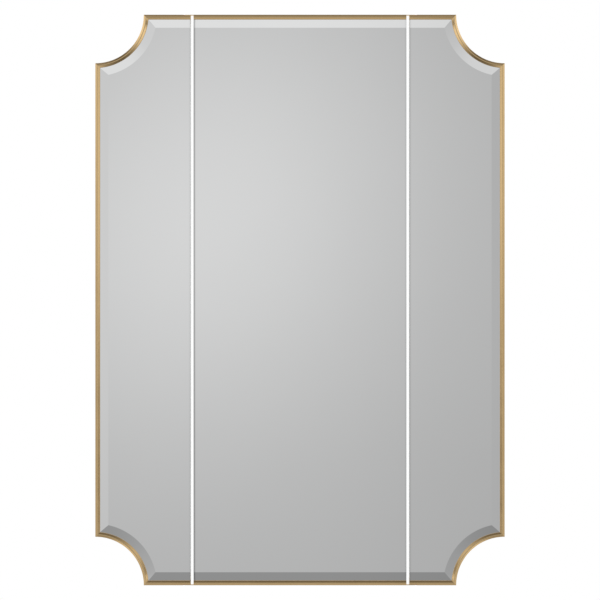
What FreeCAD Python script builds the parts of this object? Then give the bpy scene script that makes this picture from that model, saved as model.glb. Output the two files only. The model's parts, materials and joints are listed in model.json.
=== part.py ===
"""Trifold vanity mirror: a centre panel that hangs on a wall and two wings that fold forward.

Frame of the part: +X right, +Y towards the wall, +Z up; the glass faces -Y. The origin is at the
middle of the bottom edge, half way through the depth. All sizes are in millimetres. Distances
called u run inward from the outer edge of the frame, and distances called p run back from its front.
"""
import FreeCAD, Part
import math
import os
import Sketcher

V = FreeCAD.Vector

# ---------------------------------------------------------------- driving dimensions
SIZES = [
    # the whole mirror
    ("width", 711.0), ("height", 991.0), ("wing_width", 165.5), ("panel_gap", 5.2),
    ("scallop_radius", 84.2),
    # frame: a channel with a crowned front lip, an outer wall and a rear flange
    ("face_width", 8.0), ("frame_wall", 1.2), ("flank_angle", 35.4), ("ridge_radius", 1.5),
    ("flange_width", 12.0), ("flange_thick", 1.5),
    # glass, tape and board, one behind the other
    ("glass_setback", 2.0), ("glass_thick", 5.0), ("glass_edge", 2.5), ("bevel_width", 21.0),
    ("glass_clear", 0.15), ("sheet_clear", 0.5), ("board_thick", 9.0),
    ("tape_thick", 1.0), ("tape_width", 19.0), ("tape_inset", 14.0),
    # pivots between the centre panel and the wings
    ("pivot_inset", 7.0), ("pivot_depth", 7.5), ("swing_angle", 108.0), ("swing_clear", 0.3),
    ("plate_width", 8.0), ("plate_length", 46.0), ("plate_clear", 0.1),
    ("pin_diameter", 3.0), ("pin_fit", 0.01), ("pin_tail_clear", 0.4),
    ("bush_diameter", 5.0), ("bush_fit", 0.05), ("bush_seat_fit", 0.01),
    ("bush_flange_diameter", 6.6), ("bush_flange_thick", 0.5), ("bush_flange_clear", 0.1),
    ("end_play", 0.2),
    # solid blocks that close the rail ends
    ("block_height", 5.8), ("block_clear", 0.15), ("centre_block_length", 62.0),
    ("wing_block_length", 30.0), ("notch_clear", 0.5),
    # screws
    ("screw_diameter", 2.9), ("screw_fit", 0.02), ("screw_clear", 0.15),
    ("frame_screw_length", 9.0), ("head_diameter", 5.4),
    ("head_height", 1.5), ("block_screw_inset", 4.6), ("wing_block_screw", 20.0),
    ("centre_block_screw", 45.0),
    ("plate_screw_diameter", 2.5), ("plate_screw_length", 4.6), ("plate_head_diameter", 4.4),
    ("plate_head_land", 0.15), ("plate_screw_end", 28.0),
    # raised keyhole hangers on the back of the centre board
    ("hanger_inset", 64.8), ("hanger_drop", 110.0), ("hanger_length", 62.0), ("hanger_foot", 11.0),
    ("hanger_width", 22.0), ("hanger_thick", 1.2), ("hanger_round", 4.0), ("hanger_bend", 0.5),
    ("hanger_wall_clear", 0.4), ("hanger_screw_length", 7.0),
    ("keyhole_entry", 10.0), ("keyhole_slot", 5.0), ("keyhole_travel", 13.0),
    # rubber bumpers on the backs of the boards
    ("bumper_diameter", 12.0), ("bumper_thick", 6.5), ("bumper_inset", 28.0),
    ("wing_bumper_rise", 150.0),
]

# worked out from the sizes above
DERIVED = [
    ("half_width", "width / 2"),
    ("wing_edge", "half_width - wing_width"),
    ("centre_half", "wing_edge - panel_gap"),
    ("ridge_half", "ridge_radius * sin(flank_angle)"),
    ("ridge_drop", "ridge_radius * (1 - cos(flank_angle))"),
    ("crown_rise", "ridge_drop + (face_width / 2 - ridge_half) * tan(flank_angle)"),
    ("sheet_inset", "frame_wall + sheet_clear"),
    ("bevel_drop", "glass_thick - glass_edge"),
    ("lip_back",
     "glass_setback + bevel_drop * (1 - (face_width - sheet_inset) / bevel_width) - glass_clear"),
    ("glass_back", "glass_setback + glass_thick"),
    ("board_front", "glass_back + tape_thick"),
    ("flange_front", "board_front + board_thick"),
    ("frame_depth", "flange_front + flange_thick"),
    ("depth", "flange_front + bumper_thick"),
    ("front", "-depth / 2"),
    ("mitre_run", "sqrt((scallop_radius + face_width) ^ 2 - face_width ^ 2) - scallop_radius"),
    ("sheet_corner", "sqrt((scallop_radius + sheet_inset) ^ 2 - sheet_inset ^ 2)"),
    ("pivot_from_middle", "wing_edge + pivot_inset"),
    ("plate_half", "plate_width / 2"),
    ("block_drop", "frame_wall + swing_clear"),
    ("block_bottom", "block_drop + block_height"),
    ("block_front", "lip_back + block_clear"),
    ("block_back", "flange_front - block_clear"),
    ("notch_rise", "block_bottom + notch_clear"),
    ("bush_top", "frame_wall + end_play"),
    ("hanger_rise", "bumper_thick - hanger_thick - hanger_wall_clear"),
    ("foot_start", "hanger_length / 2 - hanger_foot"),
    ("land_half", "foot_start - hanger_rise"),
    ("bend_shift", "hanger_thick * (sqrt(2) - 1)"),
    ("hanger_from_middle", "centre_half - hanger_inset"),
    ("keyhole_middle", "-keyhole_travel / 2"),
    ("keyhole_neck", "sqrt((keyhole_entry / 2) ^ 2 - (keyhole_slot / 2) ^ 2) - keyhole_travel"),
]

NAMES = {name for name, value in SIZES + DERIVED}
DOC = FreeCAD.newDocument("trifold_mirror")
NODES = []

# the two sides and the two ends that most pieces are made for
SIDES = {"left": -1, "right": 1}
ENDS = {"bottom": ("0", 1), "top": ("height", -1)}


def make_sheet():
    """The spreadsheet that holds every size, with the worked-out ones as formulas."""
    sheet = DOC.addObject("Spreadsheet::Sheet", "sizes")
    for row, (name, value) in enumerate(SIZES + DERIVED, start=1):
        text = str(value) if isinstance(value, float) else "=" + value
        sheet.set("A%d" % row, name)
        sheet.set("B%d" % row, text)
        sheet.setAlias("B%d" % row, name)
    DOC.recompute()
    return sheet


SHEET = make_sheet()


def bind(text):
    """The expression on the sheet's cells for one written with the bare names of the sizes."""
    out = ""
    word = ""
    for letter in str(text) + " ":
        if letter.isalnum() or letter == "_":
            word += letter
            continue
        out += ("sizes." + word if word in NAMES else word) + letter
        word = ""
    return out.strip()


def size(text):
    """The number that an expression on the sizes gives now."""
    return float(SHEET.evalExpression(bind(text)))


def times(sign, text):
    """An expression with a sign in front."""
    return text if sign > 0 else "-(%s)" % text


# ---------------------------------------------------------------- sketches
def new_body(label):
    """An empty body that becomes one node."""
    body = DOC.addObject("PartDesign::Body", label)
    body.Label = label
    body.AllowCompound = True
    NODES.append(body)
    return body


def sketch_on(body, role, x="0", y="0", z="0"):
    """An empty sketch on one of the body's origin planes, shifted along the sketch's own axes.

    Sketch axes on XY_Plane are X and Y with Z out; on XZ_Plane X and Z with -Y out; on YZ_Plane
    Y and Z with X out.
    """
    sketch = body.newObject("Sketcher::SketchObject", body.Label + "_sketch")
    plane = next(item for item in body.Origin.OriginFeatures if item.Role == role)
    sketch.AttachmentSupport = (plane, "")
    sketch.MapMode = "FlatFace"
    for axis, text in (("x", x), ("y", y), ("z", z)):
        sketch.setExpression("AttachmentOffset.Base." + axis, bind(text))
    return sketch


def upright(body, p, x="0", z="0"):
    """A sketch in the plane of the panels at the depth p behind the front of the frame."""
    return sketch_on(body, "XZ_Plane", x, z, "-(front + %s)" % p)


def hold(sketch, piece, end, x=None, y=None):
    """Tie one point of a sketch to expressions for its place."""
    for kind, text, axis in (("DistanceX", x, -2), ("DistanceY", y, -1)):
        if text is None:
            continue
        if text == "0":
            sketch.addConstraint(Sketcher.Constraint("PointOnObject", piece, end, axis))
            continue
        index = sketch.addConstraint(Sketcher.Constraint(kind, -1, 1, piece, end, size(text)))
        sketch.setExpression("Constraints[%d]" % index, bind(text))


def outline(sketch, corners):
    """Draw a closed ring. A corner is (x, y), and a line runs on to the next one; or it is
    (x, y, centre x, centre y, turn), and an arc does, anticlockwise where turn is 1."""
    first = sketch.GeometryCount
    points = [V(size(corner[0]), size(corner[1]), 0) for corner in corners]
    starts = []
    for index, corner in enumerate(corners):
        here = points[index]
        there = points[(index + 1) % len(points)]
        if len(corner) == 2:
            sketch.addGeometry(Part.LineSegment(here, there))
            starts.append((1, 2))
            continue
        centre = V(size(corner[2]), size(corner[3]), 0)
        turn = corner[4]
        begin, finish = (here, there) if turn > 0 else (there, here)
        angles = [math.atan2(point.y - centre.y, point.x - centre.x) for point in (begin, finish)]
        if angles[1] <= angles[0]:
            angles[1] += 2 * math.pi
        circle = Part.Circle(centre, V(0, 0, 1), (here - centre).Length)
        sketch.addGeometry(Part.ArcOfCircle(circle, angles[0], angles[1]))
        starts.append((1, 2) if turn > 0 else (2, 1))
    for index, corner in enumerate(corners):
        after = (index + 1) % len(corners)
        sketch.addConstraint(Sketcher.Constraint(
            "Coincident", first + index, starts[index][1], first + after, starts[after][0]))
        hold(sketch, first + index, starts[index][0], corner[0], corner[1])
        if len(corner) > 2:
            chord = points[after] - points[index]
            if abs(chord.x) > abs(chord.y):
                hold(sketch, first + index, 3, y=corner[3])
            else:
                hold(sketch, first + index, 3, x=corner[2])
    return sketch


def circles(sketch, centres, diameter):
    """Draw circles of one diameter about a list of (x, y) expressions."""
    for x, y in centres:
        circle = Part.Circle(V(size(x), size(y), 0), V(0, 0, 1), size(diameter) / 2)
        piece = sketch.addGeometry(circle)
        index = sketch.addConstraint(Sketcher.Constraint("Diameter", piece, size(diameter)))
        sketch.setExpression("Constraints[%d]" % index, bind(diameter))
        hold(sketch, piece, 3, x, y)
    return sketch


def rectangle(low_x, low_y, high_x, high_y):
    """The corners of a rectangle, for outline."""
    return [(low_x, low_y), (high_x, low_y), (high_x, high_y), (low_x, high_y)]


def mirrored(sign, corners):
    """The same corners with x turned over where sign is -1."""
    out = []
    for corner in corners:
        new = (times(sign, corner[0]), corner[1])
        if len(corner) > 2:
            new += (times(sign, corner[2]), corner[3], corner[4] * sign)
        out.append(new)
    return out


# ---------------------------------------------------------------- features
def pad(body, sketch, length, reverse=False):
    """Add the sketch's area over a length along the sketch's normal, or against it."""
    feature = body.newObject("PartDesign::Pad", body.Label + "_pad")
    feature.Profile = sketch
    feature.setExpression("Length", bind(length))
    feature.Reversed = reverse
    return feature


def cut(body, sketch, depth=None, reverse=False):
    """Cut the sketch's area against the sketch's normal, or through everything both ways."""
    feature = body.newObject("PartDesign::Pocket", body.Label + "_cut")
    feature.Profile = sketch
    if depth is None:
        feature.Type = "ThroughAll"
        feature.Midplane = True
    else:
        feature.setExpression("Length", bind(depth))
        feature.Reversed = reverse
    return feature


def revolve(body, sketch, axis, angle=360.0, reverse=False):
    """Turn the sketch's area about the sketch's own H_Axis or V_Axis."""
    feature = body.newObject("PartDesign::Revolution", body.Label + "_turn")
    feature.Profile = sketch
    feature.ReferenceAxis = (sketch, [axis])
    feature.Angle = angle
    feature.Reversed = reverse
    return feature


def edges(body, test):
    """The names of the edges of the body so far whose middle point and edge pass a test."""
    DOC.recompute()
    shape = body.Tip.Shape
    found = []
    for index, edge in enumerate(shape.Edges, start=1):
        middle = edge.valueAt((edge.FirstParameter + edge.LastParameter) / 2)
        if test(middle, edge):
            found.append("Edge%d" % index)
    return found


def ease(body, kind, names, amount, second=None):
    """Fillet or chamfer the named edges of the body so far."""
    base = body.Tip
    feature = body.newObject("PartDesign::" + kind, body.Label + "_" + kind.lower())
    feature.Base = (base, names)
    if second is not None:
        feature.ChamferType = "Two distances"
        feature.setExpression("Size2", bind(second))
    feature.setExpression("Radius" if kind == "Fillet" else "Size", bind(amount))
    return feature


def near(value, text):
    """Whether a coordinate is the one that an expression gives."""
    return abs(value - size(text)) < 1e-4


# ---------------------------------------------------------------- frame lengths
def channel(across, sign, base="0"):
    """The frame's section as corners: two flanks with a rounded ridge between them in front, a
    wall along the outside and a flange behind.

    across is "yz" with p along the sketch's x and u along its y, or "xy" with u along x and p
    along y; u has a sign and starts from a base.
    """
    section = [
        ("0", "crown_rise"),
        ("face_width / 2 - ridge_half", "ridge_drop", "face_width / 2", "ridge_radius"),
        ("face_width / 2 + ridge_half", "ridge_drop"),
        ("face_width", "crown_rise"),
        ("face_width", "lip_back"),
        ("frame_wall", "lip_back"),
        ("frame_wall", "flange_front"),
        ("flange_width", "flange_front"),
        ("flange_width", "frame_depth"),
        ("0", "frame_depth"),
    ]
    corners = []
    for corner in section:
        pairs = [(times(sign, "%s + %s" % (base, u)), p) for u, p in zip(corner[::2], corner[1::2])]
        if across == "yz":
            pairs = [(p, u) for u, p in pairs]
        new = pairs[0]
        if len(pairs) > 1:
            new += pairs[1] + (sign if across == "xy" else -sign,)
        corners.append(new)
    return corners


def mitre(rail_side):
    """Corners of the waste beyond a mitre, for a sketch with its origin at the outer corner.

    x runs from the corner along the rail's outer edge towards the scallop, y inward from the edge.
    The waste of the rail lies on the scallop's side of the joint and that of the scallop on the
    rail's side.
    """
    outer = ("mitre_run / 4", "-face_width / 4")
    inner = ("-mitre_run * 2", "face_width * 2")
    if rail_side:
        return [outer, ("face_width * 3", "-face_width / 4"), ("face_width * 3", "face_width * 2"), inner]
    return [outer, inner, ("-face_width * 3", "face_width * 2"), ("-face_width * 3", "-face_width / 4")]


def mitre_cut(body, corner_x, corner_z, along, inward, corners):
    """Cut a mitre whose waste runs along one axis and inward on the other, both as signed axes."""
    sketch = upright(body, "frame_depth / 2", corner_x, corner_z)
    axis, sign = along
    placed = []
    for first, second in corners:
        first = times(sign, first)
        second = times(inward, second)
        placed.append((first, second) if axis == "x" else (second, first))
    cut(body, outline(sketch, placed))


def screw_holes(body, centres):
    """Holes for the rear screws through the frame's flange, at (x, z) places."""
    sketch = upright(body, "frame_depth")
    circles(sketch, centres, "screw_diameter + 2 * screw_clear")
    cut(body, sketch, "flange_thick", reverse=True)


def rail_end_screw(side, end, from_middle):
    """Place of the rear screw that holds an end block in its rail."""
    level, inward = ENDS[end]
    return times(side, from_middle), "%s + %s" % (level, times(inward, "block_screw_inset"))


def wing_block_place(side, end):
    """Place of a wing block's rear screw."""
    return rail_end_screw(side, end, "wing_edge + wing_block_screw")


def centre_block_place(side, end):
    """Place of a centre block's rear screw."""
    return rail_end_screw(side, end, "centre_half - centre_block_screw")


def swing_notch(side, level):
    """The waste that a pivot plate sweeps in a wing's rail, about the pivot as the wing folds.

    A half round of the plate's nose behind the pivot, then a straight edge along the plate's side
    at the widest fold out to the front.
    """
    nose = "(plate_half + swing_clear)"
    beyond = "(pivot_depth + 1)"
    run = "((%s - %s * cos(swing_angle)) / sin(swing_angle))" % (beyond, nose)
    corners = [
        ("-(pivot_inset + 1)", nose),
        ("-(pivot_inset + 1)", "-" + beyond),
        ("%s * sin(swing_angle) - %s * cos(swing_angle)" % (nose, run), "-" + beyond),
        (nose + " * sin(swing_angle)", "-%s * cos(swing_angle)" % nose, "0", "0", 1),
        ("0", nose),
    ]
    return mirrored(side, corners), level


def make_wing_rail(name, side, end):
    """A short top or bottom rail: mitred at the scallop, notched round the pivot plate."""
    body = new_body("%s_wing_%s_rail" % (name, end))
    level, inward = ENDS[end]
    section = sketch_on(body, "YZ_Plane", "front", level, times(side, "wing_edge"))
    outline(section, channel("yz", inward))
    pad(body, section, "wing_width - scallop_radius", reverse=side < 0)
    corner_x = times(side, "half_width - scallop_radius")
    mitre_cut(body, corner_x, level, ("x", side), inward, mitre(True))
    corners, height = swing_notch(side, level)
    notch = sketch_on(body, "XY_Plane", times(side, "pivot_from_middle"), "front + pivot_depth", height)
    cut(body, outline(notch, corners), "block_drop", reverse=inward > 0)
    screw_holes(body, [wing_block_place(side, end)])


def make_scallop(name, side, end):
    """A hollow quarter round between a rail and the stile, mitred at both ends."""
    body = new_body("%s_wing_%s_scallop" % (name, end))
    level, inward = ENDS[end]
    section = sketch_on(body, "YZ_Plane", "front", level, times(side, "half_width"))
    outline(section, channel("yz", inward, "scallop_radius"))
    revolve(body, section, "H_Axis", 90.0, reverse=side * inward > 0)
    rail_corner = times(side, "half_width - scallop_radius")
    stile_corner = "%s + %s" % (level, times(inward, "scallop_radius"))
    mitre_cut(body, rail_corner, level, ("x", side), inward, mitre(False))
    mitre_cut(body, times(side, "half_width"), stile_corner, ("z", -inward), -side, mitre(False))


def make_stile(name, side):
    """The long outer upright of a wing, mitred at both scallops."""
    body = new_body("%s_wing_stile" % name)
    section = sketch_on(body, "XY_Plane", times(side, "half_width"), "front", "scallop_radius")
    outline(section, channel("xy", -side))
    pad(body, section, "height - 2 * scallop_radius")
    for end, (level, inward) in ENDS.items():
        corner_z = "%s + %s" % (level, times(inward, "scallop_radius"))
        mitre_cut(body, times(side, "half_width"), corner_z, ("z", -inward), -side, mitre(True))


def make_centre_rail(end):
    """A straight rail of the centre panel with a seat for a pivot plate in each end."""
    body = new_body("centre_%s_rail" % end)
    level, inward = ENDS[end]
    section = sketch_on(body, "YZ_Plane", "front", level, "-centre_half")
    outline(section, channel("yz", inward))
    pad(body, section, "2 * centre_half")
    for side in SIDES.values():
        pivot_x = times(side, "pivot_from_middle")
        seat = sketch_on(body, "XY_Plane", pivot_x, "front + pivot_depth", level)
        half = "plate_half + plate_clear"
        corners = [("-plate_length", "-(%s)" % half), ("0", "-(%s)" % half), ("0", half),
                   ("-plate_length", half, "-plate_length", "0", 1)]
        cut(body, outline(seat, mirrored(side, corners)), "frame_wall", reverse=inward > 0)
    screw_holes(body, [centre_block_place(side, end) for side in SIDES.values()])


# ---------------------------------------------------------------- glass, tape and boards
def wing_corners():
    """The outline of the right wing's glass and board: square at the gap, scalloped outside."""
    return [
        ("wing_edge", "sheet_inset"),
        ("half_width - sheet_corner", "sheet_inset", "half_width", "0", -1),
        ("half_width - sheet_inset", "sheet_corner"),
        ("half_width - sheet_inset", "height - sheet_corner", "half_width", "height", -1),
        ("half_width - sheet_corner", "height - sheet_inset"),
        ("wing_edge", "height - sheet_inset"),
    ]


def centre_corners():
    """The outline of the centre's glass and board."""
    return rectangle("-centre_half", "sheet_inset", "centre_half", "height - sheet_inset")


def block_notches(body, side, edge, length, out):
    """Clear the end blocks from a sheet's two corners at one gap.

    edge is the sheet's edge at the gap, length the block's, and out is 1 where the block runs
    away from the middle of the mirror.
    """
    sketch = upright(body, "board_front")
    far = "%s + %s" % (edge, times(out, "%s + notch_clear" % length))
    past = "%s - %s" % (edge, times(out, "panel_gap / 2"))
    low = rectangle(past, "-sheet_clear", far, "notch_rise")
    high = rectangle(past, "height - notch_rise", far, "height + sheet_clear")
    outline(sketch, mirrored(side, low))
    outline(sketch, mirrored(side, high))
    cut(body, sketch)


def bevel(body, gap_edges):
    """Grind the bevel on the front edges, other than those that lie along a gap."""
    def outer(middle, edge):
        in_front = near(middle.y, "front + glass_setback") and near(edge.BoundBox.YLength, "0")
        return in_front and not any(near(middle.x, place) for place in gap_edges)
    ease(body, "Chamfer", edges(body, outer), "bevel_drop", "bevel_width")


def make_sheets(name, corners, gaps):
    """One panel's glass and backing board, both notched round the end blocks.

    gaps lists (side, edge, block length, out) for block_notches. The board is returned.
    """
    glass = new_body(name + "_mirror_glass")
    pad(glass, outline(upright(glass, "glass_setback"), corners), "glass_thick", reverse=True)
    bevel(glass, [times(side, edge) for side, edge, length, out in gaps])
    for gap in gaps:
        block_notches(glass, *gap)
    board = new_body(name + "_backing_board")
    pad(board, outline(upright(board, "board_front"), corners), "board_thick", reverse=True)
    for gap in gaps:
        block_notches(board, *gap)
    return board


def make_tape(name, strips):
    """Upright strips of foam tape between the glass and the board, from (x, low z) expressions."""
    body = new_body(name + "_foam_tape")
    sketch = upright(body, "glass_back")
    for x, low in strips:
        outline(sketch, rectangle("%s - tape_width / 2" % x, low,
                                  "%s + tape_width / 2" % x, "height - (%s)" % low))
    pad(body, sketch, "tape_thick", reverse=True)


# ---------------------------------------------------------------- pivots
def make_plate(name, side, end):
    """A pivot plate: a round-ended strip flush in the rail, drilled for the pin and its screw."""
    body = new_body("%s_%s_pivot_plate" % (name, end))
    level, inward = ENDS[end]
    x = times(side, "pivot_from_middle")
    shape = [("-plate_length", "-plate_half"), ("0", "-plate_half", "0", "0", 1),
             ("0", "plate_half"), ("-plate_length", "plate_half", "-plate_length", "0", 1)]
    face = sketch_on(body, "XY_Plane", x, "front + pivot_depth", level)
    pad(body, outline(face, mirrored(side, shape)), "frame_wall", reverse=inward < 0)
    pin_hole = sketch_on(body, "XY_Plane", x, "front + pivot_depth", level)
    cut(body, circles(pin_hole, [("0", "0")], "pin_diameter + 2 * pin_fit"))
    screw_hole = sketch_on(body, "XY_Plane", "0", "front + pivot_depth", level)
    hole = "plate_screw_diameter + 2 * screw_clear"
    cut(body, circles(screw_hole, [plate_screw_place(side)], hole))

    def outer_rim(middle, edge):
        radius = getattr(edge.Curve, "Radius", 0)
        return near(edge.BoundBox.ZMax, level) and near(edge.BoundBox.ZMin, level) and near(
            radius, "(%s) / 2" % hole)
    ease(body, "Chamfer", edges(body, outer_rim), "(plate_head_diameter - plate_screw_diameter) / 2")


def plate_screw_place(side):
    """Place of a pivot plate's screw along the plate; the round-ended seat keeps it from turning."""
    return times(side, "centre_half - plate_screw_end"), "0"


def make_pin(name, side, end):
    """A pivot pin, riveted flush in its plate, whose tail turns in the wing's bush."""
    body = new_body("%s_%s_pivot_pin" % (name, end))
    level, inward = ENDS[end]
    sketch = sketch_on(body, "XY_Plane", times(side, "pivot_from_middle"), "front + pivot_depth", level)
    circles(sketch, [("0", "0")], "pin_diameter")
    pad(body, sketch, "block_bottom - pin_tail_clear", reverse=inward < 0)


def make_bush(name, side, end):
    """A flanged sleeve in the wing's block; the plate rides just clear of its flange."""
    body = new_body("%s_%s_pivot_bush" % (name, end))
    level, inward = ENDS[end]
    sketch = upright(body, "pivot_depth", times(side, "pivot_from_middle"), level)
    bore = "pin_diameter / 2 + bush_fit"
    under = times(inward, "bush_top + bush_flange_thick")
    outline(sketch, [
        (bore, times(inward, "bush_top")), ("bush_flange_diameter / 2", times(inward, "bush_top")),
        ("bush_flange_diameter / 2", under), ("bush_diameter / 2", under),
        ("bush_diameter / 2", times(inward, "block_bottom")), (bore, times(inward, "block_bottom"))])
    revolve(body, sketch, "V_Axis")


def rear_block_hole(body, centre):
    """A blind hole for the rear screw in an end block."""
    sketch = circles(upright(body, "block_back"), [centre], "screw_diameter + 2 * screw_fit")
    cut(body, sketch, "frame_screw_length - flange_thick", reverse=True)


def make_wing_block(name, side, end):
    """The block in a wing rail's inner end that holds the bush."""
    body = new_body("%s_%s_wing_block" % (name, end))
    level, inward = ENDS[end]
    base = "%s + %s" % (level, times(inward, "block_drop"))
    sketch = sketch_on(body, "XY_Plane", "0", "front", base)
    box = rectangle("wing_edge", "block_front", "wing_edge + wing_block_length", "block_back")
    pad(body, outline(sketch, mirrored(side, box)), "block_height", reverse=inward < 0)
    pivot = (times(side, "pivot_from_middle"), "pivot_depth")
    bore = circles(sketch_on(body, "XY_Plane", "0", "front", base), [pivot],
                   "bush_diameter + 2 * bush_seat_fit")
    cut(body, bore)
    seat = circles(sketch_on(body, "XY_Plane", "0", "front", base), [pivot],
                   "bush_flange_diameter + 2 * bush_flange_clear")
    cut(body, seat, "bush_top + bush_flange_thick - block_drop", reverse=inward > 0)
    rear_block_hole(body, wing_block_place(side, end))


def make_centre_block(name, side, end):
    """The block in a centre rail's end that the pivot plate is screwed to."""
    body = new_body("%s_%s_centre_block" % (name, end))
    level, inward = ENDS[end]
    base = "%s + %s" % (level, times(inward, "frame_wall"))
    sketch = sketch_on(body, "XY_Plane", "0", "front", base)
    box = rectangle("centre_half - centre_block_length", "block_front", "centre_half", "block_back")
    pad(body, outline(sketch, mirrored(side, box)), "block_bottom - frame_wall", reverse=inward < 0)
    holes = circles(sketch_on(body, "XY_Plane", "0", "front + pivot_depth", base),
                    [plate_screw_place(side)], "plate_screw_diameter + 2 * screw_fit")
    cut(body, holes, "plate_screw_length + screw_clear", reverse=inward > 0)
    rear_block_hole(body, centre_block_place(side, end))


# ---------------------------------------------------------------- fasteners
def rear_screws(label, places, seat, length):
    """Screws driven from behind at (x, z) places, with their heads seated at the depth seat."""
    body = new_body(label)
    pad(body, circles(upright(body, seat), places, "head_diameter"), "head_height", reverse=True)
    pad(body, circles(upright(body, seat), places, "screw_diameter"), length)


def make_plate_screws():
    """Countersunk screws that hold the four pivot plates, flush with the plates."""
    body = new_body("pivot_plate_screws")
    countersink = "((plate_head_diameter - plate_screw_diameter) / 2 - screw_fit)"
    head = "(%s + plate_head_land)" % countersink
    for level, inward in ENDS.values():
        places = [plate_screw_place(side) for side in SIDES.values()]
        top = sketch_on(body, "XY_Plane", "0", "front + pivot_depth", level)
        pad(body, circles(top, places, "plate_head_diameter"), head, reverse=inward < 0)
        shank = sketch_on(body, "XY_Plane", "0", "front + pivot_depth", level)
        pad(body, circles(shank, places, "plate_screw_diameter"),
            "frame_wall + plate_screw_length", reverse=inward < 0)

    def under_head(middle, edge):
        radius = getattr(edge.Curve, "Radius", 0)
        heights = [head, "height - " + head]
        return near(radius, "plate_head_diameter / 2") and any(near(edge.BoundBox.ZMin, z) for z in heights)
    ease(body, "Chamfer", edges(body, under_head), countersink)


# ---------------------------------------------------------------- hangers and bumpers
def hanger_place(side):
    """Where the seat of a keyhole is: (x, z)."""
    return times(side, "hanger_from_middle"), "height - hanger_drop"


def hanger_screw_places(side):
    """The two screws of a hanger, in the middles of its feet."""
    x, z = hanger_place(side)
    reach = "foot_start + hanger_foot / 2"
    return [(x, "%s + keyhole_middle + %s" % (z, times(sign, reach))) for sign in (1, -1)]


def make_hanger(name, side):
    """A steel strap, raised off the board between its two feet, with a keyhole in the raised part.

    The head of the wall screw enters below and hooks behind the strap at the top.
    """
    body = new_body("%s_keyhole_hanger" % name)
    x, z = hanger_place(side)
    middle = "%s + keyhole_middle" % z
    half = "hanger_length / 2"
    above = [("0", "foot_start"), ("0", half), ("hanger_thick", half),
             ("hanger_thick", "foot_start + bend_shift"),
             ("hanger_rise + hanger_thick", "land_half + bend_shift")]
    below = [(p, times(-1, height)) for p, height in above]
    profile = sketch_on(body, "YZ_Plane", "front + flange_front", middle, "%s - hanger_width / 2" % x)
    outline(profile, [("hanger_rise", "land_half")] + above + below[::-1] + [("hanger_rise", "-land_half")])
    pad(body, profile, "hanger_width")
    slot = "keyhole_slot / 2"
    keyhole = upright(body, "flange_front", x, z)
    outline(keyhole, [(slot, "0", "0", "0", 1), ("-" + slot, "0"),
                      ("-" + slot, "keyhole_neck", "0", "-keyhole_travel", 1), (slot, "keyhole_neck")])
    cut(body, keyhole)
    holes = upright(body, "flange_front")
    cut(body, circles(holes, hanger_screw_places(side), "screw_diameter + 2 * screw_clear"))
    round_hanger(body, x, middle)


def round_hanger(body, x, middle):
    """Round a hanger's four corners, and its bends outside and inside."""
    def corner(point, edge):
        sideways = near(abs(point.x - size(x)), "hanger_width / 2")
        return sideways and near(edge.BoundBox.YLength, "hanger_thick") and near(edge.BoundBox.ZLength, "0")

    def bend(at_foot, at_land):
        def found(point, edge):
            if not near(edge.BoundBox.XLength, "hanger_width"):
                return False
            from_middle = abs(point.z - size(middle))
            foot = near(point.y, "front + flange_front + %s" % at_foot) and from_middle < size(
                "(hanger_length - hanger_foot) / 2")
            return foot or near(point.y, "front + flange_front + %s" % at_land)
        return found
    ease(body, "Fillet", edges(body, corner), "hanger_round")
    ease(body, "Fillet", edges(body, bend("0", "hanger_rise + hanger_thick")), "hanger_bend + hanger_thick")
    ease(body, "Fillet", edges(body, bend("hanger_thick", "hanger_rise")), "hanger_bend")


def hanger_holes(board):
    """Blind holes for the hangers' screws in the centre board."""
    for side in SIDES.values():
        holes = upright(board, "flange_front")
        circles(holes, hanger_screw_places(side), "screw_diameter + 2 * screw_fit")
        cut(board, holes, "hanger_screw_length - hanger_thick + screw_clear", reverse=True)


def make_bumpers(label, places):
    """Round rubber bumpers between a board and the wall."""
    body = new_body(label)
    sketch = circles(upright(body, "flange_front"), places, "bumper_diameter")
    pad(body, sketch, "bumper_thick", reverse=True)


# ---------------------------------------------------------------- the three panels
def make_wing(name, side):
    """One wing: frame, glass, tape, board, blocks, bushes, screws and bumpers."""
    for end in ENDS:
        make_wing_rail(name, side, end)
        make_scallop(name, side, end)
        make_wing_block(name, side, end)
        make_bush(name, side, end)
    make_stile(name, side)
    make_sheets(name + "_wing", mirrored(side, wing_corners()),
                [(side, "wing_edge", "wing_block_length", 1)])
    strips = [(times(side, "wing_edge + tape_inset + tape_width / 2"), "tape_inset"),
              (times(side, "half_width - tape_inset - tape_width / 2"), "scallop_radius + tape_inset")]
    make_tape(name + "_wing", strips)
    rear_screws(name + "_wing_screws", [wing_block_place(side, end) for end in ENDS],
                "frame_depth", "frame_screw_length")
    x = times(side, "half_width - bumper_inset")
    make_bumpers(name + "_wing_bumpers", [(x, "wing_bumper_rise"), (x, "height - wing_bumper_rise")])


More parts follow.
